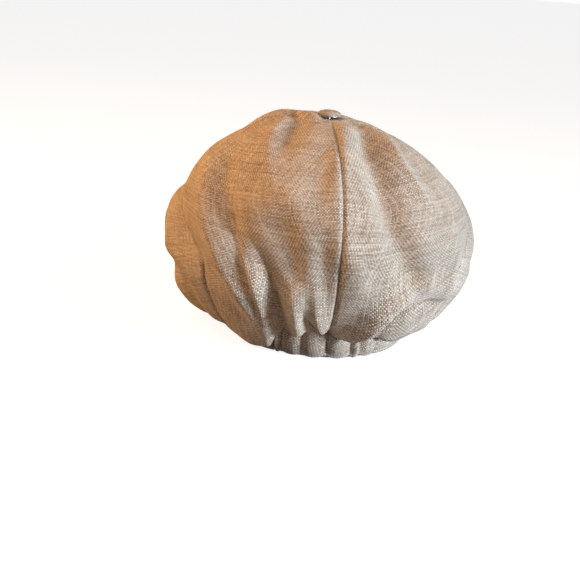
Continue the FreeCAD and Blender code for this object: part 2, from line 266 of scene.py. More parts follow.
# Creases of the crown. Each is a line of points (azimuth in degrees, per cent of the way down, height in
# mm, half width in mm); a negative height is a valley. crest is the power of the cross section: low is a
# sharp crease, 2 a round one. lean carries the crest sideways over its right-hand neighbour, as a share.
CREASES = (
    # left half, fanning out from the left end of the elastic
    ("left_outer_ridge", 1.8, 0.15, ((88, 31, 2, 11), (66, 36, 6, 11), (55, 43, 8, 11), (46, 50, 8.5, 11),
                                     (39, 57, 8, 10), (33, 64, 6, 9), (28, 72, 3, 8))),
    ("left_outer_valley", 1.6, 0.0, ((72, 27, -3, 8), (48, 39, -7, 9), (40, 46, -8, 8), (33.5, 54, -6, 6),
                                     (29, 62, -4, 5), (26.5, 70, -2, 5))),
    ("left_inner_ridge", 1.6, 0.3, ((45, 45, 1, 6), (37, 50, 5, 7), (30, 56, 8, 7), (26.5, 63, 8, 7),
                                    (24, 73, 7, 6), (23, 84, 3, 5))),
    ("left_deep_valley", 1.4, 0.0, ((37, 44, -1, 8), (29, 51, -7, 10), (23.5, 59, -12, 9), (21, 67, -13, 8),
                                    (20, 77, -10, 7), (19.5, 87, -5, 6))),
    ("left_broad_hollow", 2.0, 0.0, ((27, 38, -1, 17), (21, 46, -6, 18), (16, 54, -8, 16), (12, 62, -4, 12))),
    ("left_lobe", 2.0, -0.2, ((13, 57, 1, 9), (15, 62, 5, 9), (15, 69, 7.5, 9), (15, 78, 7, 9),
                              (16, 89, 4, 8))),
    ("left_gather_crease", 1.3, 0.0, ((13, 64, -1, 4), (10.5, 70, -5, 4), (7.5, 77, -7, 4), (5, 85, -7, 4),
                                      (4, 93, -5, 3.5))),
    ("left_gather_ridge", 1.6, 0.2, ((8, 60, 1, 6), (6, 68, 4, 6), (4, 76, 5, 6), (2.5, 85, 4, 5))),
    ("dimple_by_seam", 1.8, 0.0, ((7, 45, -1, 8), (6, 52, -3.5, 9), (4.5, 58, -3.5, 8), (3, 64, -1, 6))),
    ("left_upper_ridge", 1.8, 0.0, ((72, 15, 3, 9), (56, 20, 4.5, 9), (43, 26, 3.5, 9), (35, 32, 1, 8))),
    ("left_upper_valley", 1.8, 0.0, ((105, 11, -2, 9), (64, 13, -5, 9), (42, 18, -4.5, 9),
                                     (34, 24, -1.5, 8))),
    ("short_level_crease", 1.4, 0.0, ((20, 26, -0.3, 5), (12, 24.5, -1.4, 5), (4, 23, -1.0, 5))),
    ("middle_swell", 2.0, 0.0, ((34, 30, 1, 18), (28, 35, 4, 20), (18, 38, 4, 18), (10, 40, 2, 14))),
    ("left_shoulder", 2.0, 0.0, ((134, 9, 3, 26), (112, 15, 6, 24), (95, 20, 5, 16))),
    ("left_limb_dent", 2.0, 0.0, ((142, 30, -3, 20), (124, 37, -7, 18), (107, 42, -10, 16),
                                  (94, 44.5, -10, 14),
                                   (83, 46, -4, 9))),
    ("left_limb_tuck", 2.0, 0.0, ((142, 59, -5, 20), (124, 61, -9, 20), (104, 63, -13, 20), (86, 63, -11, 18),
                                   (70, 64, -3, 12))),
    # right half
    ("right_middle_ridge", 2.0, 0.0, ((-9, 15, 2, 9), (-2, 23, 5, 10), (1, 33, 6.5, 11), (0, 43, 7, 12),
                                      (-4, 52, 5.5, 12), (-10, 59, 2, 12))),
    ("right_long_valley", 2.0, 0.0, ((-60, 11, -3, 9), (-27, 19, -9, 11), (-20, 29, -12, 13),
                                     (-20, 39, -13, 14),
                                     (-23, 48, -12, 14), (-28, 56, -7, 12), (-33, 61, -1.5, 9))),
    ("right_upper_ridge", 1.5, 0.2, ((-72, 15, 1.5, 7), (-47, 21, 4.5, 7), (-38, 27, 5.5, 7), (-38, 34, 4, 7),
                                     (-40, 40, 2, 8))),
    ("right_upper_hollow", 2.0, 0.0, ((-66, 18, -2.5, 13), (-54, 27, -4, 14), (-50, 35, -2.5, 13))),
    ("right_limb_tuck", 2.0, 0.0, ((-108, 18, -3, 24), (-84, 26, -5.5, 24), (-72, 36, -3, 18))),
    ("right_side_ridge", 1.8, 0.2, ((-52, 40, 2, 12), (-48, 50, 4.5, 12), (-46, 57, 4.5, 11),
                                    (-48, 64, 3, 10))),
    ("right_seam_notch", 1.5, 0.0, ((-88, 56, -1.5, 7), (-74, 57.5, -2.5, 8), (-60, 58.5, -2.5, 7),
                                    (-50, 57, -0.5, 6))),
    ("right_overhang", 1.8, 0.6, ((-4, 90, 3, 5), (-6.5, 82, 7, 6), (-9.5, 74, 11, 7), (-14, 66, 12, 8),
                                  (-21, 60.5, 9, 9), (-31, 57.5, 5, 9), (-42, 57, 2, 8))),
    ("right_recess", 1.5, 0.0, ((-12, 92, -8, 4), (-14.5, 84, -16, 5), (-18.5, 76, -24, 6), (-24, 70, -24, 6),
                                (-31, 66.5, -16, 6), (-40, 65, -8, 6), (-50, 65, -2, 6))),
    ("right_lower_lobe", 2.0, 0.0, ((-21, 92, 2, 6), (-27, 83, 5, 8), (-35, 77, 6, 9), (-46, 74, 5, 10),
                                    (-58, 73, 2, 10))),
    ("right_low_tuck", 2.0, 0.0, ((-36, 93, -2, 12), (-52, 88, -5, 16), (-70, 84, -5, 18),
                                  (-86, 82, -3, 18))),
    # sides and front, out of the same habit of the cloth: soft drag lines from the seams to the band
    ("left_side_fold", 1.7, 0.2, ((74, 50, 1, 10), (78, 60, 3.5, 10), (84, 72, 3, 10), (90, 84, 1, 9))),
    ("left_side_hollow", 1.8, 0.0, ((62, 60, -1, 8), (66, 70, -3, 9), (72, 82, -2.5, 9), (76, 92, -1, 8))),
    ("left_front_fold", 1.7, -0.2, ((112, 40, 1, 11), (108, 52, 3, 11), (106, 65, 3.5, 11),
                                    (107, 80, 1.5, 9))),
    ("left_front_hollow", 1.7, 0.0, ((124, 46, -1, 9), (120, 56, -3, 9), (118, 68, -3.5, 9),
                                     (118, 80, -1.5, 8))),
    ("left_brow_fold", 1.7, 0.0, ((150, 48, 1, 12), (146, 58, 3.5, 12), (141, 69, 4, 11), (137, 82, 2, 9))),
    ("left_brow_hollow", 1.6, 0.0, ((160, 56, -1, 9), (155, 65, -3.5, 9), (150, 75, -4, 8),
                                    (147, 86, -2, 7))),
    ("front_middle_hollow", 1.8, 0.0, ((171, 34, -0.5, 9), (170, 46, -2.5, 10), (172, 58, -2.5, 9),
                                       (173, 70, -1, 8))),
    ("right_side_fold", 1.7, -0.2, ((-80, 62, 1, 10), (-86, 70, 3, 10), (-92, 80, 2.5, 9))),
    ("right_side_hollow", 1.8, 0.0, ((-98, 50, -1, 10), (-100, 62, -3, 10), (-104, 76, -2.5, 9))),
    ("right_front_fold", 1.7, 0.2, ((-112, 42, 1, 11), (-115, 55, 3.5, 11), (-116, 68, 3.5, 11),
                                    (-118, 82, 1.5, 9))),
    ("right_front_hollow", 1.6, 0.0, ((-130, 48, -1, 9), (-132, 60, -3.5, 9), (-131, 72, -4, 8),
                                      (-132, 84, -2, 8))),
    ("right_brow_fold", 1.7, 0.0, ((-152, 44, 1, 12), (-150, 56, 3.5, 12), (-147, 68, 4, 11),
                                   (-146, 82, 2, 9))),
    ("right_brow_hollow", 1.6, 0.0, ((-168, 58, -1, 9), (-164, 67, -3, 9), (-160, 77, -3.5, 8),
                                     (-158, 88, -1.5, 7))),
)


def crease_lift(place, outward, crease):
    """Height and sideways shift that one crease gives each surface point, in metres. The crease's line is
    divided finely; each point takes the nearest stretch, and its height falls off across the line as
    exp(-(distance / half width) ** crest)."""
    _, crest, lean, line = crease
    line = np.array(line, float)
    fine = smooth_curve(line, np.linspace(0, len(line) - 1, 5 * (len(line) - 1) + 1))
    path = crown_base(np.radians(fine[:, 0]), fine[:, 1] / 100)
    reach = 3.0 * fine[:, 3].max() * MM
    close = np.all((place > path.min(axis=0) - reach) & (place < path.max(axis=0) + reach), axis=-1)
    spot, facing = place[close], outward[close]
    near = np.full(len(spot), 1.0)
    height = np.zeros(len(spot))
    half_width = np.full(len(spot), MM)
    across = np.zeros(spot.shape)
    for first, second, low, high in zip(path[:-1], path[1:], fine[:-1], fine[1:]):
        along = second - first
        share = np.clip(((spot - first) @ along) / (along @ along), 0, 1)
        distance = np.linalg.norm(spot - first - share[:, None] * along, axis=-1)
        closer = distance < near
        near = np.where(closer, distance, near)
        height = np.where(closer, (low[2] + (high[2] - low[2]) * share) * MM, height)
        half_width = np.where(closer, (low[3] + (high[3] - low[3]) * share) * MM, half_width)
        across = np.where(closer[:, None], unit(np.cross(along, facing)), across)
    rise = np.zeros(place.shape[:-1])
    shift = np.zeros(place.shape)
    rise[close] = height * np.exp(-(near / half_width) ** crest)
    shift[close] = lean * rise[close][:, None] * across
    return rise, shift


# Where the loose cloth hangs down over the band: azimuth in degrees, half width in degrees, drop and
# outward swell in mm.
SAGS = (("left_back", 31, 19, 17.0, -1.5), ("right_back", -32, 9, 4.0, -2.0), ("left_side", 85, 30, 3.0, 0.0))
# Share of the hem's half depth at which the casing ends, and the azimuth of that place in degrees.
CASING_END_DEPTH = 0.861
CASING_END = math.degrees(math.atan2(ELASTIC_HALF, HEM_HALF_DEPTH * CASING_END_DEPTH))


def sag_shift(azimuth, down):
    """Drop and outward swell of the cloth that hangs over the band, in metres: a bell in azimuth, rising
    below the widest level and gone again where the cloth is sewn to the band."""
    hang = smooth_step(0.64, 0.88, down) * (1 - smooth_step(0.95, 1.0, down))
    hang = hang * smooth_step(CASING_END - 3.5, CASING_END + 2, np.abs(np.degrees(azimuth)))
    drop, swell = np.zeros_like(azimuth), np.zeros_like(azimuth)
    for _, middle, half, low, out in SAGS:
        bell = hang * np.exp(-((np.degrees(azimuth) - middle) / half) ** 2)
        drop = drop + low * MM * bell
        swell = swell + out * MM * bell
    return drop, swell


# Lobes of the gathered back, from the wearer's left to right: how far across and half width, in mm.
GATHERS = ((40.5, 2.6), (29.5, 8.5), (11.5, 9.8), (-10.5, 9.8), (-25.0, 3.8), (-37.0, 7.2))


def gather_swell(across):
    """Height of the gathered cloth, 0 in the pinches to 1 on the lobes, at a distance across the back."""
    swell = np.zeros_like(across)
    for middle, half in GATHERS:
        swell = np.maximum(swell, 1 - np.abs((across / MM - middle) / half) ** 2.2)
    return np.clip(swell, -0.6, 1)


CLEAR_OF_FLOOR = 1.5 * MM


def crown_surface(azimuth, down, seam_gap):
    """The crown as worn cloth: the smooth form, moved out along its normal by the panels' puff, the
    creases, the gathers above the elastic and fine unevenness, and drawn in along the seams. seam_gap is
    each point's distance from its nearest seam, in metres. Cloth that would hang through the floor is
    held just above it, by the soft limit c (1 + log(1 + exp(z / c - 1)))."""
    place, outward, _, _ = crown_directions(azimuth, down)
    lift = np.zeros(azimuth.shape)
    shift = np.zeros(place.shape)
    for crease in CREASES:
        rise, slide = crease_lift(place, outward, crease)
        lift += rise
        shift += slide
    near_button = smooth_step(0.05, 0.18, down)
    near_band = 1 - smooth_step(0.90, 1.0, down)
    clear = smooth_step(11.0 * MM, 17.0 * MM, np.hypot(place[..., 0], place[..., 1]))
    lift *= near_band * clear
    shift *= (near_band * clear)[..., None]

    elastic = smooth_step(0.066, 0.036, np.abs(place[..., 0])) * (place[..., 1] > 0)
    gather = smooth_step(0.72, 0.96, down) * elastic
    lift += 3.6 * MM * gather * (gather_swell(place[..., 0] * (1 + 0.10 * (1 - down))) - 0.30)
    tuck = smooth_step(0.78, 0.90, down) * (1 - smooth_step(0.96, 1.0, down)) * elastic

    spread = place - np.array([18 * MM, 3 * MM, CROWN_TOP])
    mound = np.exp(-(spread[..., 0] / (10 * MM)) ** 4 - (spread[..., 1] / (12 * MM)) ** 2)
    lift += 5.5 * MM * mound * clear * (spread[..., 2] > -40 * MM)

    broad = lattice_noise(place * 32, 3) + 0.5 * lattice_noise(place * 70, 5)
    drag = lattice_noise(np.stack([azimuth * 9, down * 3.2, 0 * down], axis=-1), 11)
    lift += near_band * near_button * (0.9 * MM * broad + 0.8 * MM * drag * smooth_step(0.3, 0.8, down))

    puff = 1 - np.exp(-(seam_gap / (13 * MM)) ** 1.5)
    groove = np.exp(-(seam_gap / (1.7 * MM)) ** 1.6)
    depth = near_button * (1 - 0.5 * smooth_step(0.9, 1.0, down))
    lift += depth * (2.4 * MM * puff - 2.3 * MM * groove) - 1.0 * MM * near_button
    drop, swell = sag_shift(azimuth, down)
    drop = drop - 2.5 * MM * tuck
    level = np.stack([np.sin(azimuth) * swell, np.cos(azimuth) * swell, -drop], axis=-1)
    surface = place + outward * lift[..., None] + shift + level
    surface[..., 2] = CLEAR_OF_FLOOR * (1 + np.log1p(np.exp(surface[..., 2] / CLEAR_OF_FLOOR - 1)))
    return surface


# ---------------------------------------------------------------- materials

class Nodes:
    """Short calls for building a node tree: each adds one node and returns its output socket."""

    def __init__(self, tree):
        self.tree = tree

    def add(self, kind, **settings):
        """A new node of one kind, with its settings."""
        node = self.tree.nodes.new(kind)
        for key, value in settings.items():
            setattr(node, key, value)
        return node

    def feed(self, socket, value):
        """Link a socket to an output, or give it a plain value."""
        if isinstance(value, bpy.types.NodeSocket):
            self.tree.links.new(value, socket)
        else:
            socket.default_value = value

    def math(self, operation, *values):
        """One arithmetic step."""
        node = self.add("ShaderNodeMath", operation=operation)
        for socket, value in zip(node.inputs, values):
            self.feed(socket, value)
        return node.outputs[0]

    def join(self, x, y, z=0.0):
        """Vector from three numbers."""
        node = self.add("ShaderNodeCombineXYZ")
        for socket, value in zip(node.inputs, (x, y, z)):
            self.feed(socket, value)
        return node.outputs[0]

    def noise(self, place, scale, detail=2.0, roughness=0.5):
        """Soft noise from 0 to 1."""
        node = self.add("ShaderNodeTexNoise")
        self.feed(node.inputs["Vector"], place)
        self.feed(node.inputs["Scale"], scale)
        self.feed(node.inputs["Detail"], detail)
        self.feed(node.inputs["Roughness"], roughness)
        return node.outputs["Fac"]

    def random(self, place):
        """One random number from 0 to 1 for each place in the plane."""
        node = self.add("ShaderNodeTexWhiteNoise", noise_dimensions="2D")
        self.feed(node.inputs["Vector"], place)
        return node.outputs["Value"]

    def fit(self, value, low, high, to_low=0.0, to_high=1.0):
        """Value carried from one range to another, held at its ends."""
        node = self.add("ShaderNodeMapRange", clamp=True)
        for socket, item in zip(node.inputs, (value, low, high, to_low, to_high)):
            self.feed(socket, item)
        return node.outputs[0]

    def blend(self, share, first, second, kind="MIX"):
        """Colour mixed from two."""
        node = self.add("ShaderNodeMix", data_type="RGBA", blend_type=kind)
        self.feed(node.inputs["Factor"], share)
        self.feed(node.inputs[6], first)
        self.feed(node.inputs[7], second)
        return node.outputs[2]

    def choose(self, share, first, second):
        """Number mixed from two: the first at share 0, the second at share 1."""
        node = self.add("ShaderNodeMix", data_type="FLOAT")
        for socket, item in zip(node.inputs[0:4], (share, None, first, second)):
            if item is not None:
                self.feed(socket, item)
        return node.outputs[0]

    def bump(self, height, distance, strength):
        """Normal bent by a height."""
        node = self.add("ShaderNodeBump")
        self.feed(node.inputs["Height"], height)
        node.inputs["Distance"].default_value = distance
        node.inputs["Strength"].default_value = strength
        return node.outputs["Normal"]


def new_group(name, inputs, outputs):
    """Empty shader node group: inputs and outputs are (name, socket type, default) rows."""
    tree = bpy.data.node_groups.new(name, "ShaderNodeTree")
    for label, kind, default in inputs:
        socket = tree.interface.new_socket(label, in_out="INPUT", socket_type=kind)
        socket.default_value = default
    for label, kind in outputs:
        tree.interface.new_socket(label, in_out="OUTPUT", socket_type=kind)
    return tree, Nodes(tree), tree.nodes.new("NodeGroupInput"), tree.nodes.new("NodeGroupOutput")


def plain_weave_group():
    """Plain weave on the cloth map: thread tone, thread height and streaks.

    The map is divided into square cells, one thread pitch wide. In every other cell the warp, which runs
    down the map, lies on top; in the rest the weft does. A thread's height is a sine across its width,
    lower where it dips under its neighbour. Each thread has its own random tone, which drifts along it.
    Weft Lightness is how much lighter than the warp the weft is, half of it added and half taken away."""
    if "plain_weave" in bpy.data.node_groups:
        return bpy.data.node_groups["plain_weave"]
    inputs = (("Place", "NodeSocketVector", (0.0, 0.0, 0.0)), ("Threads per Metre", "NodeSocketFloat", 800.0),
              ("Unevenness", "NodeSocketFloat", 0.3), ("Slub Length", "NodeSocketFloat", 60.0),
              ("Weft Lightness", "NodeSocketFloat", 0.0))
    outputs = (("Tone", "NodeSocketFloat"), ("Height", "NodeSocketFloat"), ("Streak", "NodeSocketFloat"),
               ("Patch", "NodeSocketFloat"))
    tree, n, given, result = new_group("plain_weave", inputs, outputs)
    cloth = given.outputs["Place"]
    split = n.add("ShaderNodeSeparateXYZ")
    n.feed(split.inputs[0], cloth)
    across, along = split.outputs[0], split.outputs[1]
    count = given.outputs["Threads per Metre"]
    uneven = given.outputs["Unevenness"]
    wander_a = n.math("MULTIPLY", n.math("SUBTRACT", n.noise(cloth, 45.0), 0.5),
                      n.math("MULTIPLY", uneven, 8.0))
    shifted = n.add("ShaderNodeVectorMath", operation="ADD")
    n.feed(shifted.inputs[0], cloth)
    shifted.inputs[1].default_value = (3.7, 1.9, 0.0)
    wander_b = n.math("MULTIPLY", n.math("SUBTRACT", n.noise(shifted.outputs[0], 45.0), 0.5),
                      n.math("MULTIPLY", uneven, 8.0))
    warp_place = n.math("ADD", n.math("MULTIPLY", across, count), wander_a)
    weft_place = n.math("ADD", n.math("MULTIPLY", along, count), wander_b)
    warp, weft = n.math("FLOOR", warp_place), n.math("FLOOR", weft_place)
    warp_round = n.math("SINE", n.math("MULTIPLY", n.math("FRACT", warp_place), math.pi))
    weft_round = n.math("SINE", n.math("MULTIPLY", n.math("FRACT", weft_place), math.pi))
    warp_on_top = n.math("FLOORED_MODULO", n.math("ADD", warp, weft), 2.0)
    warp_height = n.math("MULTIPLY", warp_round, n.math("MULTIPLY_ADD", weft_round, 0.5, 0.5))
    weft_height = n.math("MULTIPLY", weft_round, n.math("MULTIPLY_ADD", warp_round, 0.5, 0.5))
    slub = given.outputs["Slub Length"]
    warp_drift = n.noise(n.join(n.math("MULTIPLY", warp, 3.17), n.math("MULTIPLY", along, slub)), 1.0)
    weft_drift = n.noise(n.join(n.math("MULTIPLY", across, slub), n.math("MULTIPLY", weft, 3.17), 5.0), 1.0)
    warp_tone = n.math("ADD", n.math("MULTIPLY", n.random(n.join(warp, 0.5)), 0.22),
                       n.math("MULTIPLY", warp_drift, 0.70))
    weft_tone = n.math("ADD", n.math("MULTIPLY", n.random(n.join(weft, 7.5)), 0.22),
                       n.math("MULTIPLY", weft_drift, 0.70))
    fleck = n.math("MULTIPLY", n.random(n.join(warp, weft)), 0.22)
    contrast = n.math("MULTIPLY", n.math("SUBTRACT", 0.5, warp_on_top), given.outputs["Weft Lightness"])
    tone = n.math("ADD", n.choose(warp_on_top, weft_tone, warp_tone), n.math("SUBTRACT", fleck, 0.05))
    tone = n.math("ADD", tone, contrast)
    n.feed(result.inputs["Tone"], tone)
    n.feed(result.inputs["Height"], n.choose(warp_on_top, weft_height, warp_height))
    long_weft = n.noise(n.join(n.math("MULTIPLY", across, 9.0), n.math("MULTIPLY", along, 260.0)), 1.0, 1.0)
    long_warp = n.noise(n.join(n.math("MULTIPLY", across, 260.0), n.math("MULTIPLY", along, 9.0), 3.0),
                        1.0, 1.0)
    streak = n.math("MAXIMUM", n.fit(long_weft, 0.60, 0.78),
                    n.math("MULTIPLY", n.fit(long_warp, 0.62, 0.80), 0.6))
    n.feed(result.inputs["Streak"], streak)
    n.feed(result.inputs["Patch"], n.noise(cloth, 28.0, 3.0))
    return tree


def start_material(name):
    """New node material: its shortcuts and its Principled shader, or None where it is already made."""
    if name in bpy.data.materials:
        return bpy.data.materials[name], None, None
    material = bpy.data.materials.new(name)
    material.use_nodes = True
    return material, Nodes(material.node_tree), material.node_tree.nodes["Principled BSDF"]


def use_group(n, tree, **values):
    """Node that holds a group, with its inputs given by name: an underline stands for a space."""
    node = n.add("ShaderNodeGroup", node_tree=tree)
    for label, value in values.items():
        n.feed(node.inputs[label.replace("_", " ")], value)
    return node


def cloth_place(n):
    """A piece's own cloth map, in metres."""
    return n.add("ShaderNodeUVMap", uv_map="cloth").outputs[0]


def object_place(n):
    """Place in the cap's own space, with height as the second coordinate, for pieces without a map."""
    turn = n.add("ShaderNodeMapping")
    turn.inputs["Rotation"].default_value = (math.radians(-90), 0.0, 0.0)
    n.feed(turn.inputs["Vector"], n.add("ShaderNodeTexCoord").outputs["Object"])
    return turn.outputs[0]


def woven_material(name, dark, middle, light, threads, bump_depth, sheen, roughness=(0.78, 0.95),
                   unevenness=0.10, streaks=0.4, patches=0.2, weft_lightness=0.0, place=cloth_place):
    """Cloth of two-tone threads: thread tone picks a colour between dark, middle and light; the gaps between
    threads are darkened with painted shade and the thread tops lifted with a faint painted highlight; long
    pale slubs and broad patches vary it."""
    material, n, shader = start_material(name)
    if shader is None:
        return material
    spot = place(n)
    weave = use_group(n, plain_weave_group(), Place=spot, Threads_per_Metre=threads, Unevenness=unevenness,
                      Weft_Lightness=weft_lightness)
    tone, height = weave.outputs["Tone"], weave.outputs["Height"]
    patch = n.math("MULTIPLY", n.math("SUBTRACT", weave.outputs["Patch"], 0.5), patches)
    level = n.math("ADD", tone, patch)
    lower = n.blend(n.fit(level, 0.22, 0.52), (*dark, 1), (*middle, 1))
    colour = n.blend(n.fit(level, 0.50, 0.80), lower, (*light, 1))
    pale = n.blend(n.math("MULTIPLY", weave.outputs["Streak"], streaks), colour, (*light, 1))
    # painted shade: the colour is multiplied by thread height, darker in the gaps between threads, with a
    # faint painted highlight on the thread tops
    shade = n.fit(height, 0.0, 0.75, 0.52, 1.10)
    shaded = n.blend(1.0, pale, n.join(shade, shade, shade), "MULTIPLY")
    n.feed(shader.inputs["Base Color"], shaded)
    n.feed(shader.inputs["Roughness"], n.fit(height, 0.0, 1.0, roughness[1], roughness[0]))
    fibres = n.noise(spot, 2600.0, 3.0)
    relief = n.math("ADD", height, n.math("MULTIPLY", fibres, 0.35))
    n.feed(shader.inputs["Normal"], n.bump(relief, bump_depth, 0.8))
    shader.inputs["Sheen Weight"].default_value = sheen
    shader.inputs["Sheen Roughness"].default_value = 0.45
    shader.inputs["Specular IOR Level"].default_value = 0.25
    return material


def linen_material():
    """Heathered linen of the outer cloth, in the colours and thread pitch of the look."""
    look = bpy.context.scene.cap_look
    return woven_material("heather_linen", look.linen_dark, look.linen_middle, look.linen_light,
                          1 / look.thread_pitch, 0.0008, 0.3, weft_lightness=0.20)


def lining_material():
    """Smooth, slightly shiny cloth of fine even threads."""
    look = bpy.context.scene.cap_look
    base = np.array(look.lining_colour)
    return woven_material("lining_satin", base * 0.78, base, base * 1.12, 3200.0, 0.00012, 0.15,
                          roughness=(0.38, 0.55), unevenness=0.04, streaks=0.15, patches=0.1)


def sweatband_material():
    """Cotton tape with a fine weave."""
    base = np.array(bpy.context.scene.cap_look.sweatband_colour)
    return woven_material("sweatband_tape", base * 0.7, base, np.minimum(base * 1.2, 1), 2200.0, 0.00022, 0.2,
                          roughness=(0.7, 0.9), unevenness=0.06, streaks=0.2, patches=0.15)


def interfacing_material():
    """Pressed fleece: pale fibres in every direction, without a weave."""
    material, n, shader = start_material("interfacing_fleece")
    if shader is None:
        return material
    spot = object_place(n)
    fibres = n.noise(spot, 900.0, 5.0, 0.7)
    n.feed(shader.inputs["Base Color"],
           n.blend(n.fit(fibres, 0.35, 0.65), (0.62, 0.60, 0.56, 1), (0.84, 0.83, 0.80, 1)))
    n.feed(shader.inputs["Roughness"], n.fit(fibres, 0.3, 0.7, 0.95, 0.8))
    n.feed(shader.inputs["Normal"], n.bump(fibres, 0.0003, 0.7))
    return material


def label_material():
    """Blank satin label: fine weft ribs on a pale ground."""
    base = np.array((0.83, 0.80, 0.74))
    return woven_material("label_satin", base * 0.85, base, base * 1.1, 4200.0, 0.00008, 0.1,
                          roughness=(0.3, 0.5), unevenness=0.02, streaks=0.1, patches=0.05)


def elastic_material():
    """Woven elastic: pale rubber-cored ribs that run along the strip, every 1.6 mm of its height, with the
    grooves between them darkened as painted shade.
    """
    material, n, shader = start_material("ribbed_elastic")
    if shader is None:
        return material
    split = n.add("ShaderNodeSeparateXYZ")
    n.feed(split.inputs[0], cloth_place(n))
    rib = n.math("ABSOLUTE", n.math("SINE", n.math("MULTIPLY", split.outputs[1], math.pi / (1.6 * MM))))
    fuzz = n.noise(cloth_place(n), 1400.0, 3.0)
    # painted shade: the colour follows the rib height, darker in the grooves between the ribs
    n.feed(shader.inputs["Base Color"], n.blend(rib, (0.55, 0.53, 0.50, 1), (0.86, 0.85, 0.82, 1)))
    n.feed(shader.inputs["Roughness"], n.fit(fuzz, 0.3, 0.7, 0.7, 0.9))
    n.feed(shader.inputs["Normal"], n.bump(n.math("ADD", rib, n.math("MULTIPLY", fuzz, 0.3)), 0.0004, 0.8))
    return material


def board_material():
    """Moulded peak board: dark plastic with a fine pebble."""
    material, n, shader = start_material("peak_board_plastic")
    if shader is None:
        return material
    pebble = n.noise(object_place(n), 700.0, 4.0, 0.6)
    n.feed(shader.inputs["Base Color"],
           n.blend(n.fit(pebble, 0.35, 0.65), (0.05, 0.05, 0.055, 1), (0.09, 0.09, 0.095, 1)))
    n.feed(shader.inputs["Roughness"], n.fit(pebble, 0.3, 0.7, 0.55, 0.35))
    n.feed(shader.inputs["Normal"], n.bump(pebble, 0.0001, 0.6))
    return material


def button_metal_material():
    """Stamped, tin-plated steel, dulled in patches."""
    material, n, shader = start_material("tinned_steel")
    if shader is None:
        return material
    spot = object_place(n)
    dull = n.noise(spot, 260.0, 4.0, 0.65)
    n.feed(shader.inputs["Base Color"],
           n.blend(n.fit(dull, 0.35, 0.7), (0.72, 0.70, 0.66, 1), (0.42, 0.40, 0.37, 1)))
    n.feed(shader.inputs["Roughness"], n.fit(dull, 0.3, 0.7, 0.28, 0.55))
    n.feed(shader.inputs["Normal"], n.bump(n.noise(spot, 1800.0, 2.0), 0.00004, 0.5))
    shader.inputs["Metallic"].default_value = 1.0
    return material


def thread_material():
    """Spun thread: a fine twist of light and shade along each stitch, as slanting bands."""
    material, n, shader = start_material("spun_thread")
    if shader is None:
        return material
    look = bpy.context.scene.cap_look
    split = n.add("ShaderNodeSeparateXYZ")
    n.feed(split.inputs[0], n.add("ShaderNodeTexCoord").outputs["Object"])
    slant = n.math("ADD", n.math("ADD", split.outputs[0], split.outputs[1]), split.outputs[2])
    twist = n.fit(n.math("SINE", n.math("MULTIPLY", slant, 2 * math.pi / (0.45 * MM))), -1.0, 1.0)
    dark = tuple(0.72 * c for c in look.thread_colour)
    n.feed(shader.inputs["Base Color"], n.blend(twist, (*dark, 1), (*look.thread_colour, 1)))
    n.feed(shader.inputs["Roughness"], n.fit(twist, 0.0, 1.0, 0.75, 0.55))
    n.feed(shader.inputs["Normal"], n.bump(twist, 0.00008, 0.6))
    return material


# ---------------------------------------------------------------- crown panels

def panel_grid(panel, rows, columns):
    """Azimuth, down and distance to the nearest seam on a grid over one panel: rows run from its one seam
    to the other, columns from the button to the band. Both are closer together along the seams."""
    _, first, second, side = panel
    share = np.linspace(0, 1, rows)[:, None]
    share = share + 0.35 * np.sin(2 * np.pi * share) / (-2 * np.pi)
    down = np.linspace(0.0, 1.0, columns)[None, :]
    start, end = seam_azimuth(first, side, down), seam_azimuth(second, side, down)
    azimuth = start + (end - start) * share
    down = down + 0 * azimuth
    base = crown_base(azimuth, down)
    steps = np.linalg.norm(np.diff(base, axis=0), axis=-1)
    walked = np.concatenate([np.zeros((1, columns)), np.cumsum(steps, axis=0)])
    gap = np.minimum(walked, walked[-1:] - walked)
    fall = np.linalg.norm(np.diff(base, axis=1), axis=-1)
    fallen = np.concatenate([np.zeros((rows, 1)), np.cumsum(fall, axis=1)], axis=1)
    cloth = np.stack([walked - walked[-1:] / 2, fallen], axis=-1)
    return azimuth, down, gap, cloth


def thicken(piece, thickness, name="cloth_thickness"):
    """Give a single-faced cloth its thickness, inwards from the visible face."""
    modifier = piece.modifiers.new(name, "SOLIDIFY")
    modifier.thickness = thickness
    modifier.offset = -1
    modifier.use_even_offset = False
    return piece


def follow_stretch(piece):
    """Bake the placement of a piece of the back into its mesh."""
    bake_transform(piece)


def join_panel(piece, panel):
    """The two back panels have their placement baked into their meshes; the others are attached to the cap.
    """
    if panel[0].startswith("back"):
        follow_stretch(piece)
    else:
        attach(piece, "cap")


class CAP_OT_crown(bpy.types.Operator):
    """Sew the six outer panels of the crown, with their creases and gathers"""
    bl_idname = "cap.crown"
    bl_label = "Crown panels"

    def execute(self, context):
        sizes = context.scene.cap_sizes
        for panel in PANELS:
            name = panel[0]
            azimuth, down, gap, cloth = panel_grid(panel, sizes.panel_rows, sizes.panel_columns)
            piece = grid_mesh("crown_" + name, crown_surface(azimuth, down, gap), cloth)
            finish_cloth(piece, "linen", linen_material(), sizes.cloth_thickness, "crown_panel_" + name)
            join_panel(piece, panel)
        return {"FINISHED"}


# ---------------------------------------------------------------- lining

# Room between the crown's visible face and the lining in a deep crease, in mm.
LINING_CLEARANCE = 3.2


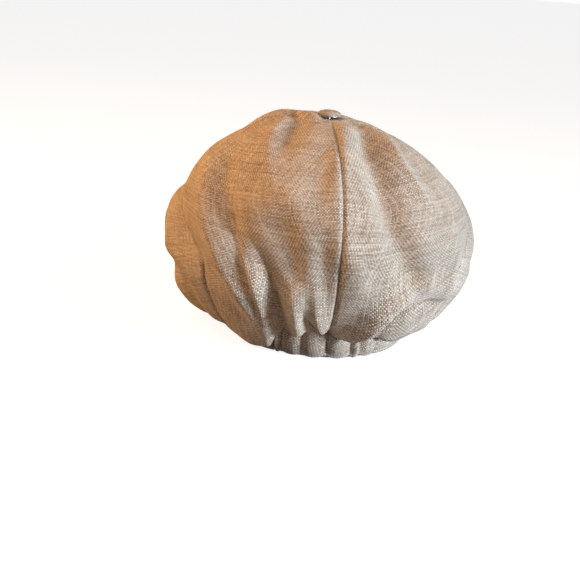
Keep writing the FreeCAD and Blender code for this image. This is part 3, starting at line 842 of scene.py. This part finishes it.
def lining_surface(azimuth, down, seam_gap):
    """The lining: the crown's smooth form moved inwards, further where a crease of the crown goes deep,
    and brought back to the crown's edge at the button and at the band. It puffs a little between its own
    seams."""
    place, outward, _, _ = crown_directions(azimuth, down)
    inset = 2.6 + 5.4 * smooth_step(0.02, 0.16, down) + 5.5 * smooth_step(0.30, 0.48, down)
    inset = inset - 11.0 * smooth_step(0.87, 1.0, down)
    ripple = lattice_noise(place * 45, 21) * smooth_step(0.05, 0.2, down) * smooth_step(1.0, 0.85, down)
    groove = np.exp(-(seam_gap / (2.5 * MM)) ** 2)
    inset = inset + 0.8 * ripple + 1.0 * groove
    crown_depth = np.sum((place - crown_surface(azimuth, down, seam_gap)) * outward, axis=-1) / MM
    inset = np.maximum(inset, crown_depth + LINING_CLEARANCE * smooth_step(0.02, 0.14, down))
    surface = place - outward * inset[..., None] * MM
    towards_axis = np.stack([np.sin(azimuth), np.cos(azimuth), 0 * azimuth], axis=-1)
    return surface - towards_axis * (2.4 * MM * smooth_step(0.80, 1.0, down))[..., None]


class CAP_OT_lining(bpy.types.Operator):
    """Sew the six lining panels inside the crown"""
    bl_idname = "cap.lining"
    bl_label = "Lining"

    def execute(self, context):
        for panel in PANELS:
            name = panel[0]
            azimuth, down, gap, cloth = panel_grid(panel, 44, 90)
            piece = grid_mesh("lining_" + name, lining_surface(azimuth, down, gap), cloth)
            finish_cloth(piece, "lining", lining_material(), 0.5 * MM, "lining_panel_" + name)
            join_panel(piece, panel)
        return {"FINISHED"}


# ---------------------------------------------------------------- hem: band, elastic casing, sweatband

def hem_path(angle, inset, height):
    """Points on the hem's ellipse drawn in by inset, at a height. Angle 0 is straight back, growing
    towards the wearer's left."""
    along_x = (HEM_HALF_WIDTH - inset) * np.sin(angle)
    along_y = (HEM_HALF_DEPTH - inset) * np.cos(angle)
    return np.stack(np.broadcast_arrays(along_x, along_y, height), axis=-1)


def hem_outward(angle):
    """Level unit normal of the hem's ellipse."""
    normal = np.stack([np.sin(angle) / HEM_HALF_WIDTH, np.cos(angle) / HEM_HALF_DEPTH, 0 * angle], axis=-1)
    return unit(normal)


def hem_edge(place_y):
    """Height of the hem's lower edge: 0, and the arch's circle at the front."""
    inside = np.clip(ARCH_RADIUS ** 2 - (place_y - ARCH_MIDDLE_Y) ** 2, 0, None)
    return np.maximum(ARCH_RISE - ARCH_RADIUS + np.sqrt(inside), 0.0)


def hem_strip(name, angles, outer, inner, low, high, swell=None, ends=(True, True), faces=9):
    """Strip round the hem from one inset to another (outer, inner) and one height to another. swell moves
    its outer face out, most at mid height, by an array of metres for each station."""
    middle = hem_path(angles, (outer + inner) / 2, (low + high) / 2)
    squeeze = squeezed_ends(len(angles), 0.03, ends)
    half_thickness = (inner - outer) / 2 * squeeze + 1e-5
    half_height = np.broadcast_to((high - low) / 2, angles.shape) * (0.93 + 0.07 * squeeze)
    outward, upward = hem_outward(angles), np.broadcast_to([0.0, 0.0, 1.0], (len(angles), 3))
    points = strip_grid(middle, outward, upward, half_thickness, half_height, faces)
    across, core, tip = strip_section(faces)
    if swell is not None:
        below = 1 - 0.85 * np.clip(-core - 0.3 * tip, 0, 1) ** 2.5
        above = 1 - 0.4 * np.clip(core, 0, 1) ** 4
        bulge = np.clip(np.where(across > 0, across, 0) * below * above, 0, 1)
        points = points + outward[:, None] * (swell[:, None] * bulge * squeeze[:, None])[..., None]
    walked = np.concatenate([[0.0], np.cumsum(np.linalg.norm(np.diff(middle, axis=0), axis=-1))])
    lengths = np.linalg.norm(np.diff(points[len(points) // 2], axis=0), axis=-1)
    girth = np.concatenate([[0.0], np.cumsum(lengths)])
    cloth = np.stack(np.broadcast_arrays(walked[:, None], girth[None, :]), axis=-1)
    return close_mesh(grid_mesh(name, points, cloth))


def finish_cloth(piece, slot, material, thickness=None, *nodes):
    """Material, thickness and replaced nodes of a cloth piece. slot is not used."""
    piece.data.materials.append(material)
    if thickness is not None:
        thicken(piece, thickness)
    if nodes:
        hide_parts(*nodes)
    return piece


class CAP_OT_hem(bpy.types.Operator):
    """Make the band, the gathered elastic casing with its elastic and facing, and the sweatband"""
    bl_idname = "cap.hem"
    bl_label = "Hem and sweatband"

    def execute(self, context):
        end_angle = math.asin(ELASTIC_HALF / HEM_HALF_WIDTH)
        angles = np.linspace(end_angle, 2 * math.pi - end_angle, 420)
        low = hem_edge(hem_path(angles, 0.0, 0.0)[:, 1])
        wander = 0.35 * MM * lattice_noise(hem_path(angles, 0.0, 0.0) * 60, 31)
        band = hem_strip("hem_band_linen", angles, -0.7 * MM, 2.1 * MM, low + 0.2 * MM, BAND_TOP + 0.6 * MM,
                         swell=0.5 * MM + wander, faces=13)
        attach(finish_cloth(band, "linen", linen_material(), None, "hem_band"), "cap")
        for side, sign in SIDES:
            self.make_casing(side, sign, end_angle)
            self.make_sweatband(side, sign)
            self.make_label(side, sign)
        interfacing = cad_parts["band_interfacing"]
        interfacing.data.materials.clear()
        interfacing.data.materials.append(interfacing_material())
        return {"FINISHED"}

    def make_casing(self, side, sign, end_angle):
        """One half of the casing, swollen into lobes and wavy along its lower edge, with the elastic and
        the facing inside it."""
        angles = sign * np.linspace(0.0, end_angle + 0.012, 150)
        across = hem_path(angles, 0.0, 0.0)[:, 0]
        lobes = np.clip(gather_swell(across), 0, 1)
        seam = np.exp(-(across / (1.6 * MM)) ** 2)
        crumple = lattice_noise(hem_path(angles, 0.0, 0.0) * 160, 33)
        swell = (4.0 * lobes + 0.4 * crumple) * MM - 1.3 * MM * seam
        low = 0.2 * MM + (1 - lobes) * 2.4 * MM
        casing = hem_strip("elastic_casing_linen_" + side, angles, -0.5 * MM, 2.1 * MM, low,
                           CASING_HIGH[2] + 3.4 * MM + 0 * low, swell=swell, ends=(False, True), faces=21)
        finish_cloth(casing, "linen", linen_material(), None, "elastic_casing_" + side)
        follow_stretch(casing)
        inner = sign * np.linspace(0.0, end_angle, 70)
        facing = hem_strip("casing_facing_" + side, inner, 2.2 * MM, 3.0 * MM, 0.4 * MM, 19.6 * MM,
                           ends=(False, True))
        finish_cloth(facing, "linen", linen_material(), None, "casing_facing")
        follow_stretch(facing)
        elastic = hem_strip("elastic_" + side, inner, 1.0 * MM, 1.8 * MM, 3 * MM, 17.5 * MM,
                            ends=(False, True))
        finish_cloth(elastic, "elastic", elastic_material(), None, "elastic_strip")
        follow_stretch(elastic)

    def make_sweatband(self, side, sign):
        """Half of the sweatband, from the centre back to the centre front, with a rolled lower edge."""
        angles = sign * np.linspace(0.0, math.pi, 260)
        line = hem_path(angles, 3.3 * MM, 0.0)
        low = hem_edge(line[:, 1]) + 0.4 * MM
        high = BAND_HIGH[2] + 0.5 * MM * lattice_noise(line * 40, 35)
        band = hem_strip("sweatband_" + side, angles, 3.3 * MM, 4.3 * MM, low, high,
                         ends=(False, False), faces=15)
        finish_cloth(band, "sweatband", sweatband_material(), None, "sweatband")
        follow_stretch(band)

    def make_label(self, side, sign):
        """Half of the blank label, sewn to the sweatband and folded at the centre back."""
        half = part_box("size_label_blank")[1][0]
        low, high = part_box("size_label_blank")[0][2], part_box("size_label_blank")[1][2]
        angles = sign * np.linspace(0.0, math.asin(half / HEM_HALF_WIDTH), 40)
        label = hem_strip("size_label_" + side, angles, 4.45 * MM, 4.9 * MM, low, high, ends=(False, True))
        finish_cloth(label, "label", label_material(), None, "size_label_blank")
        follow_stretch(label)


# ---------------------------------------------------------------- peak

PEAK_SLOPE = math.tan(math.radians(7.4))
PEAK_BOW = 500 * MM
PEAK_ROOT_Y = -107 * MM
PEAK_ROOT_Z = 13 * MM
PEAK_HALF_WIDTH = PEAK_HIGH[0]
PEAK_MIDDLE_Y = -50 * MM
PEAK_END_Y = -54 * MM
PEAK_HALF_THICKNESS = 1.9 * MM


def peak_height(x, y):
    """Middle of the peak's thickness: it falls away forwards in a straight slope and is bowed across."""
    return PEAK_ROOT_Z + PEAK_HALF_THICKNESS + PEAK_SLOPE * (y - PEAK_ROOT_Y) - x ** 2 / PEAK_BOW


def peak_outline(turn, inset):
    """Root line and rim of the peak as (x, y), for turn from -1 at its right end to 1 at its left. The
    root follows the band's ellipse, the rim an ellipse of its own, each between the peak's two ends."""
    rim_depth = PEAK_MIDDLE_Y - PEAK_LOW[1]
    root_turn = turn * math.acos(PEAK_END_Y / PEAK_ROOT_Y)
    rim_turn = turn * math.acos((PEAK_MIDDLE_Y - PEAK_END_Y) / rim_depth)
    root = np.stack([86.4 * MM * np.sin(root_turn), (PEAK_ROOT_Y + 0.6 * MM) * np.cos(root_turn)], axis=-1)
    rim = np.stack([(PEAK_HALF_WIDTH - inset) * np.sin(rim_turn),
                    PEAK_MIDDLE_Y - (rim_depth - inset) * np.cos(rim_turn)], axis=-1)
    return root, rim


def peak_cover(name, face, columns=150, rows=44):
    """One cover of the peak: face 1 is the top, -1 the under side. It runs from the root to the rim and
    then a quarter circle round it, to the seam at mid thickness."""
    turn = np.linspace(-1, 1, columns)[:, None]
    root, rim = peak_outline(turn, PEAK_HALF_THICKNESS)
    share = np.linspace(0, 1, rows)[None, :]
    flat = root + (rim - root) * share[..., None]
    bend = np.linspace(0, math.pi / 2, 9)[1:]
    out = unit(rim - np.array([0.0, PEAK_MIDDLE_Y]) * np.array([1.0, 0.8]))
    edge = rim + out * (PEAK_HALF_THICKNESS * np.sin(bend))[None, :, None]
    plan = np.concatenate([flat, edge], axis=1)
    lift = np.concatenate([np.ones(rows), np.cos(bend)])[None, :] * PEAK_HALF_THICKNESS
    seam_dip = 0.35 * MM * np.exp(-((share - 0.93) / 0.012) ** 2)
    dip = np.concatenate([np.broadcast_to(seam_dip, (1, rows)), np.zeros((1, len(bend)))], axis=1)
    x, y = plan[..., 0], plan[..., 1]
    ripple = 0.25 * MM * lattice_noise(np.stack([x * 45, y * 45, face + 0 * x], axis=-1), 41)
    z = peak_height(x, y) + face * (lift - dip + ripple * (lift > 0))
    points = np.stack([x, y, z], axis=-1)
    cloth = np.stack([x, y], axis=-1)
    if face > 0:
        points, cloth = points[::-1], cloth[::-1]
    return grid_mesh(name, points, cloth)


def follow_peak(piece):
    """Bake the placement of a piece of the peak into its mesh."""
    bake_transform(piece)


def peak_board():
    """Stiff board inside the peak, 1.8 mm thick, drawn in from the rim."""
    turn = np.linspace(-0.985, 0.985, 90)[:, None]
    root, rim = peak_outline(turn, 4.0 * MM)
    share = np.concatenate([[0.0], np.linspace(0, 1, 26), [1.0]])[None, :]
    plan = root + (rim - root) * (0.02 + 0.98 * share[..., None])
    board = grid_mesh("peak_board_stiffener", np.stack(
        [plan[..., 0], plan[..., 1], peak_height(plan[..., 0], plan[..., 1]) - 0.9 * MM], axis=-1))
    modifier = board.modifiers.new("board_thickness", "SOLIDIFY")
    modifier.thickness = 1.8 * MM
    modifier.offset = 1
    return board


class CAP_OT_peak(bpy.types.Operator):
    """Make the peak: its board, both covers and the stitching round the rim"""
    bl_idname = "cap.peak"
    bl_label = "Peak"

    def execute(self, context):
        for name, node, face in (("peak_top_linen", "peak_top_cover", 1),
                                 ("peak_under_linen", "peak_under_cover", -1)):
            cover = finish_cloth(peak_cover(name, face), "linen", linen_material(), 0.8 * MM, node)
            follow_peak(cover)
        board = peak_board()
        board.data.materials.append(board_material())
        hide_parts("peak_board")
        follow_peak(board)
        turn = np.linspace(-0.97, 0.97, 400)
        for face, name in ((1, "peak_topstitch"), (-1, "peak_understitch")):
            line = peak_outline(turn, 7 * MM)[1]
            height = peak_height(line[:, 0], line[:, 1]) + face * (PEAK_HALF_THICKNESS + 0.05 * MM)
            path = np.column_stack([line, height])
            upright = np.broadcast_to([0.0, 0.0, float(face)], path.shape)
            stitches = stitch_row(name, [path], [upright], 3.0 * MM)
            follow_peak(stitches)
        return {"FINISHED"}


# ---------------------------------------------------------------- button

class CAP_OT_button(bpy.types.Operator):
    """Cover the button in linen and finish its metal parts"""
    bl_idname = "cap.button"
    bl_label = "Button"

    def execute(self, context):
        radius = BUTTON_HIGH[0]
        low, high = BUTTON_LOW[2], BUTTON_HIGH[2]
        outline = np.array([(0.0, 1.0), (0.25, 0.985), (0.50, 0.93), (0.72, 0.83), (0.88, 0.68), (0.97, 0.50),
                            (1.0, 0.32), (0.975, 0.16), (0.90, 0.055), (0.76, 0.02), (0.5, 0.03),
                            (0.25, 0.04), (0.0, 0.04)])
        along = np.linspace(0, len(outline) - 1, 60)
        curve = smooth_curve(outline, along)
        turn = np.linspace(0, 2 * math.pi, 97)[:, None]
        out, rise = curve[None, :, 0], curve[None, :, 1]
        ripple = 0.012 * np.sin(turn * 17 + 2 * np.sin(turn * 3))
        gather = 1 + ripple * smooth_step(0.45, 0.1, rise) * (out > 0.3)
        out = np.clip(out, 0, None) * gather * radius
        height = low + (high - low) * rise + 0.12 * MM * np.sin(turn * 2 + 1) * (out / radius) ** 2
        points = np.stack(np.broadcast_arrays(out * np.sin(turn), out * np.cos(turn), height), axis=-1)
        flat = np.concatenate([[0.0], np.cumsum(np.linalg.norm(np.diff(curve, axis=0), axis=-1))]) * radius
        cloth = np.stack([flat * np.sin(turn), flat * np.cos(turn)], axis=-1)
        cover = close_mesh(grid_mesh("button_linen", points, cloth))
        finish_cloth(cover, "linen", linen_material(), None, "button_cover")
        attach(cover, "button")
        for node in ("button_shell", "button_back_plate", "button_shank", "button_backing"):
            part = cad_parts[node]
            part.data.materials.clear()
            part.data.materials.append(button_metal_material())
        return {"FINISHED"}


# ---------------------------------------------------------------- stitching

def stitch_row(name, paths, normals, spacing, length=2.2 * MM, radius=0.22 * MM):
    """Rows of stitches: along each path, one every spacing. A stitch is a low arc of five six-sided rings
    that rises from the cloth, runs on it and sinks in again. Its ends are closed to a point."""
    rings = np.linspace(-1, 1, 5)
    thin = np.array([0.0, 0.85, 1.0, 0.85, 0.0])
    sides = np.linspace(0, 2 * math.pi, 7)[:-1]
    base = np.arange(30).reshape(5, 6)
    ringed = np.concatenate([base, base[:, :1]], axis=1)
    quads = np.stack([ringed[:-1, :-1], ringed[1:, :-1], ringed[1:, 1:], ringed[:-1, 1:]], axis=-1)
    quads = quads.reshape(-1, 4)
    vertices, faces = [], []
    for path, normal in zip(paths, normals):
        walked = np.concatenate([[0.0], np.cumsum(np.linalg.norm(np.diff(path, axis=0), axis=-1))])
        places = np.arange(spacing / 2, walked[-1], spacing)
        middle = np.stack([np.interp(places, walked, path[:, k]) for k in range(3)], axis=-1)
        ahead = np.stack([np.interp(places + 0.5 * MM, walked, path[:, k]) for k in range(3)], axis=-1)
        behind = np.stack([np.interp(places - 0.5 * MM, walked, path[:, k]) for k in range(3)], axis=-1)
        up = unit(np.stack([np.interp(places, walked, normal[:, k]) for k in range(3)], axis=-1))
        along = unit(ahead - behind)
        aside = unit(np.cross(along, up))
        arch = (0.7 - 1.1 * rings ** 2) * radius
        centre = (middle[:, None] + along[:, None] * (rings * length / 2)[None, :, None]
                  + up[:, None] * arch[None, :, None])
        ring = centre[:, :, None] + radius * thin[None, :, None, None] * (
            aside[:, None, None] * np.cos(sides)[None, None, :, None]
            + up[:, None, None] * np.sin(sides)[None, None, :, None])
        start = sum(len(v) for v in vertices)
        vertices.append(ring.reshape(-1, 3))
        faces.append((quads[None] + start + 30 * np.arange(len(places))[:, None, None]).reshape(-1, 4))
    piece = close_mesh(mesh_from(name, np.concatenate(vertices), np.concatenate(faces)))
    piece.data.materials.append(thread_material())
    return piece


def crown_line(azimuth, down, gap):
    """Path on the crown's surface with its normals: arrays of azimuth and down, and the distance of each
    point from its seam."""
    surface = crown_surface(azimuth, down, gap)
    outward = crown_directions(azimuth, down)[1]
    return surface, outward


SEAM_STITCH_GAP = 1.7 * MM


class CAP_OT_stitching(bpy.types.Operator):
    """Sew the visible rows of stitches: beside the crown's seams, along the hem and at the elastic's ends"""
    bl_idname = "cap.stitching"
    bl_label = "Stitching"

    def execute(self, context):
        down = np.linspace(0.10, 0.985, 500)
        for side, sign in SIDES:
            paths, normals = [], []
            for seam in (1, 2):
                for edge in (-1, 1):
                    line = seam_azimuth(seam, sign, down)
                    out = np.linalg.norm(crown_base(line, down)[:, :2], axis=-1)
                    offset = edge * SEAM_STITCH_GAP / out
                    path, normal = crown_line(line + offset, down, np.full_like(down, SEAM_STITCH_GAP))
                    paths.append(path)
                    normals.append(normal)
            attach(stitch_row("seam_stitches_" + side, paths, normals, 3.6 * MM, 2.6 * MM, 0.32 * MM), "cap")
            self.make_end_stitches(side, sign)
        self.make_hem_stitches()
        return {"FINISHED"}

    def make_end_stitches(self, side, sign):
        """Double upright row through the casing at one end of the elastic."""
        paths, normals = [], []
        height = np.linspace(2.0 * MM, 18.5 * MM, 40)
        for across in (40.5 * MM, 42.8 * MM):
            angle = np.full(40, sign * math.asin(across / HEM_HALF_WIDTH))
            swell = 1.2 * MM * np.sin(math.pi * (height / (20 * MM)))
            paths.append(hem_path(angle, -0.75 * MM - swell, height))
            normals.append(hem_outward(angle))
        tack = stitch_row("elastic_end_stitches_" + side, paths, normals, 2.6 * MM, 2.3 * MM, 0.26 * MM)
        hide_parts("elastic_tack_" + side)
        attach(tack, "cap")

    def make_hem_stitches(self):
        """Row above the hem's edge, round the band from one end of the elastic to the other."""
        end_angle = math.asin(ELASTIC_HALF / HEM_HALF_WIDTH) + 0.03
        angles = np.linspace(end_angle, 2 * math.pi - end_angle, 900)
        low = hem_edge(hem_path(angles, 0.0, 0.0)[:, 1])
        path = hem_path(angles, -1.0 * MM, low + 3.2 * MM)
        row = stitch_row("hem_stitches", [path], [hem_outward(angles)], 3.1 * MM)
        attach(row, "cap")


# ---------------------------------------------------------------- stage

class CAP_OT_stage(bpy.types.Operator):
    """Lay the pale floor and set the soft lights and the camera"""
    bl_idname = "cap.stage"
    bl_label = "Stage"

    def execute(self, context):
        stage = context.scene.cap_stage
        floor = grid_mesh("floor", np.stack(np.meshgrid(np.linspace(-8, 8, 9), np.linspace(-8, 8, 9),
                                                        np.zeros(1), indexing="ij"), axis=-1)[:, :, 0])
        floor.data.materials.append(floor_material())
        light_surround(context.scene, stage)
        middle = np.array([0.0, 0.0, stage.middle_height])
        for name, turn, rise, reach, width, power, colour in LAMPS:
            lamp = bpy.data.lights.new(name, "AREA")
            lamp.shape = "DISK"
            lamp.size = width
            lamp.energy = power
            lamp.color = colour
            holder = bpy.data.objects.new(name, lamp)
            context.scene.collection.objects.link(holder)
            out = direction(stage.camera_turn + turn, rise)
            holder.location = middle + out * reach
            holder.rotation_euler = Vector(-out).to_track_quat("-Z", "Y").to_euler()
        context.scene.camera = aimed_camera(context.scene, stage)
        context.scene.view_settings.view_transform = "Standard"
        return {"FINISHED"}


# Lamps: name, turn round from the camera in degrees (positive to the view's left), rise in degrees,
# distance and width in metres, power in watts, colour.
LAMPS = (
    ("warm_left", 94.0, 18.0, 1.2, 0.45, 11.5, (1.0, 0.48, 0.15)),
    ("warm_top", 62.0, 58.0, 1.4, 0.50, 14.5, (1.0, 0.57, 0.27)),
    ("cool_right", -65.0, 8.0, 1.3, 0.36, 25.0, (0.84, 0.94, 1.0)),
    ("cool_top", -58.0, 42.0, 1.6, 0.50, 5.0, (0.84, 0.95, 1.0)),
)


def direction(turn, rise):
    """Unit vector out to a place turned round from straight back (+Y) towards +X, and raised."""
    turn, rise = math.radians(turn), math.radians(rise)
    return np.array([math.sin(turn) * math.cos(rise), math.cos(turn) * math.cos(rise), math.sin(rise)])


def light_surround(scene, stage):
    """World: near white where the camera sees it, and a dim warm fill everywhere else."""
    world = scene.world or bpy.data.worlds.new("studio")
    scene.world = world
    world.use_nodes = True
    n = Nodes(world.node_tree)
    background = world.node_tree.nodes["Background"]
    seen = n.add("ShaderNodeLightPath").outputs["Is Camera Ray"]
    n.feed(background.inputs["Color"], n.blend(seen, (*stage.fill, 1), (*stage.surround, 1)))
    n.feed(background.inputs["Strength"], n.choose(seen, stage.fill_strength, stage.surround_strength))


def aimed_camera(scene, stage):
    """Camera behind the cap, looking past its middle by a few degrees down and aside, with the view
    rolled so that the cap leans."""
    camera = bpy.data.cameras.new("camera")
    camera.lens = stage.lens
    camera.sensor_width = 36.0
    back = direction(stage.camera_turn, stage.camera_rise)
    right = unit(np.cross([0.0, 0.0, 1.0], back))
    up = np.cross(back, right)
    roll = math.radians(stage.roll)
    rolled_right = right * math.cos(roll) + up * math.sin(roll)
    rolled_up = up * math.cos(roll) - right * math.sin(roll)
    middle = np.array([0.0, 0.0, stage.middle_height])
    place = middle + back * stage.camera_distance
    target = middle - rolled_right * stage.aim_left - rolled_up * stage.aim_down
    facing = unit(place - target)
    across = unit(np.cross(rolled_up, facing))
    holder = bpy.data.objects.new("camera", camera)
    scene.collection.objects.link(holder)
    axes = np.column_stack([across, np.cross(facing, across), facing])
    holder.matrix_world = Matrix.Translation(place) @ Matrix(axes.tolist()).to_4x4()
    return holder


def floor_material():
    """Pale floor, faintly mottled, lifted towards white only where the camera looks at it."""
    material, n, shader = start_material("pale_floor")
    if shader is None:
        return material
    place = n.add("ShaderNodeTexCoord").outputs["Object"]
    mottled = n.fit(n.noise(place, 3.0, 4.0), 0.3, 0.7)
    n.feed(shader.inputs["Base Color"], n.blend(mottled, (0.34, 0.34, 0.34, 1), (0.37, 0.37, 0.37, 1)))
    n.feed(shader.inputs["Roughness"], n.fit(mottled, 0.0, 1.0, 0.88, 0.94))
    shader.inputs["Specular IOR Level"].default_value = 0.1
    seen = n.add("ShaderNodeLightPath").outputs["Is Camera Ray"]
    shader.inputs["Emission Color"].default_value = (1.0, 1.0, 1.0, 1.0)
    glow = bpy.context.scene.cap_stage.floor_glow
    n.feed(shader.inputs["Emission Strength"], n.math("MULTIPLY", seen, glow))
    return material


# ---------------------------------------------------------------- properties, panel and main

class CapSizes(bpy.types.PropertyGroup):
    cloth_thickness: FloatProperty(name="Cloth Thickness", description="Thickness of the linen",
                                   default=0.0011, min=0.0003, max=0.003, unit="LENGTH")
    panel_rows: IntProperty(name="Rows Across", description="Mesh rows across one crown panel", default=130)
    panel_columns: IntProperty(name="Columns Down", description="Mesh columns down one crown panel",
                               default=230)


class CapLook(bpy.types.PropertyGroup):
    linen_dark: FloatVectorProperty(name="Linen Dark", description="Colour of the darkest threads",
                                    subtype="COLOR", default=(0.24, 0.165, 0.115))
    linen_middle: FloatVectorProperty(name="Linen Middle", description="Colour of most threads",
                                      subtype="COLOR", default=(0.53, 0.435, 0.36))
    linen_light: FloatVectorProperty(name="Linen Light", description="Colour of the pale threads",
                                     subtype="COLOR", default=(0.84, 0.785, 0.73))
    lining_colour: FloatVectorProperty(name="Lining", description="Colour of the lining", subtype="COLOR",
                                       default=(0.50, 0.42, 0.33))
    sweatband_colour: FloatVectorProperty(name="Sweatband", description="Colour of the sweatband tape",
                                          subtype="COLOR", default=(0.62, 0.55, 0.45))
    thread_colour: FloatVectorProperty(name="Thread", description="Colour of the sewing thread",
                                       subtype="COLOR", default=(0.62, 0.52, 0.40))
    thread_pitch: FloatProperty(name="Thread Pitch", description="Distance from thread to thread",
                                default=0.00122, min=0.0003, max=0.005, precision=5, unit="LENGTH")


class CapStage(bpy.types.PropertyGroup):
    camera_turn: FloatProperty(name="Camera Turn",
                               description="Degrees round from straight behind, to the left",
                               default=8.3)
    camera_rise: FloatProperty(name="Camera Rise", description="Degrees above level", default=14.5)
    camera_distance: FloatProperty(name="Camera Distance", description="From the cap's middle", default=1.05,
                                   unit="LENGTH")
    lens: FloatProperty(name="Lens", description="Focal length in millimetres", default=70.6)
    roll: FloatProperty(name="Roll", description="Degrees that the view leans", default=5.0)
    middle_height: FloatProperty(name="Middle Height", description="Height that the camera turns round",
                                 default=0.080, unit="LENGTH")
    aim_left: FloatProperty(name="Aim Left", description="How far left of the cap's middle the camera looks",
                            default=0.0263, unit="LENGTH")
    aim_down: FloatProperty(name="Aim Down", description="How far below the cap's middle the camera looks",
                            default=0.0494, unit="LENGTH")
    surround: FloatVectorProperty(name="Surround", description="Colour behind the cap", subtype="COLOR",
                                  default=(1.0, 1.0, 1.0))
    surround_strength: FloatProperty(name="Surround Strength", description="Brightness behind the cap",
                                     default=1.0)
    fill: FloatVectorProperty(name="Fill", description="Colour of the light from all round", subtype="COLOR",
                              default=(1.0, 0.80, 0.62))
    fill_strength: FloatProperty(name="Fill Strength", description="Brightness of the light from all round",
                                 default=0.05)
    floor_glow: FloatProperty(name="Floor Glow", description="How far the floor is lifted towards white",
                              default=0.88)


class CAP_PT_panel(bpy.types.Panel):
    """Sizes, colours and build steps of the cap"""
    bl_label = "Newsboy Cap"
    bl_idname = "CAP_PT_panel"
    bl_space_type = "VIEW_3D"
    bl_region_type = "UI"
    bl_category = "Cap"

    def draw(self, context):
        for group in (context.scene.cap_sizes, context.scene.cap_look, context.scene.cap_stage):
            box = self.layout.box()
            for key in group.bl_rna.properties.keys():
                if key not in ("rna_type", "name"):
                    box.prop(group, key)
        for operator in OPERATORS:
            self.layout.operator(operator.bl_idname)


GROUPS = (("cap_sizes", CapSizes), ("cap_look", CapLook), ("cap_stage", CapStage))
OPERATORS = (CAP_OT_crown, CAP_OT_lining, CAP_OT_hem, CAP_OT_peak, CAP_OT_button, CAP_OT_stitching,
             CAP_OT_stage)


def register():
    """Register the settings, the operators and the panel."""
    for key, group in GROUPS:
        bpy.utils.register_class(group)
        setattr(bpy.types.Scene, key, PointerProperty(type=group))
    for cls in (*OPERATORS, CAP_PT_panel):
        bpy.utils.register_class(cls)


def unregister():
    """Take away what register added, in the opposite order."""
    for cls in (CAP_PT_panel, *reversed(OPERATORS)):
        bpy.utils.unregister_class(cls)
    for key, group in reversed(GROUPS):
        delattr(bpy.types.Scene, key)
        bpy.utils.unregister_class(group)


def main():
    """Build the cap from its CAD frame."""
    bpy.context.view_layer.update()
    register()
    for operator in OPERATORS:
        group, name = operator.bl_idname.split(".")
        getattr(getattr(bpy.ops, group), name)()


if __name__ == "__main__":
    main()
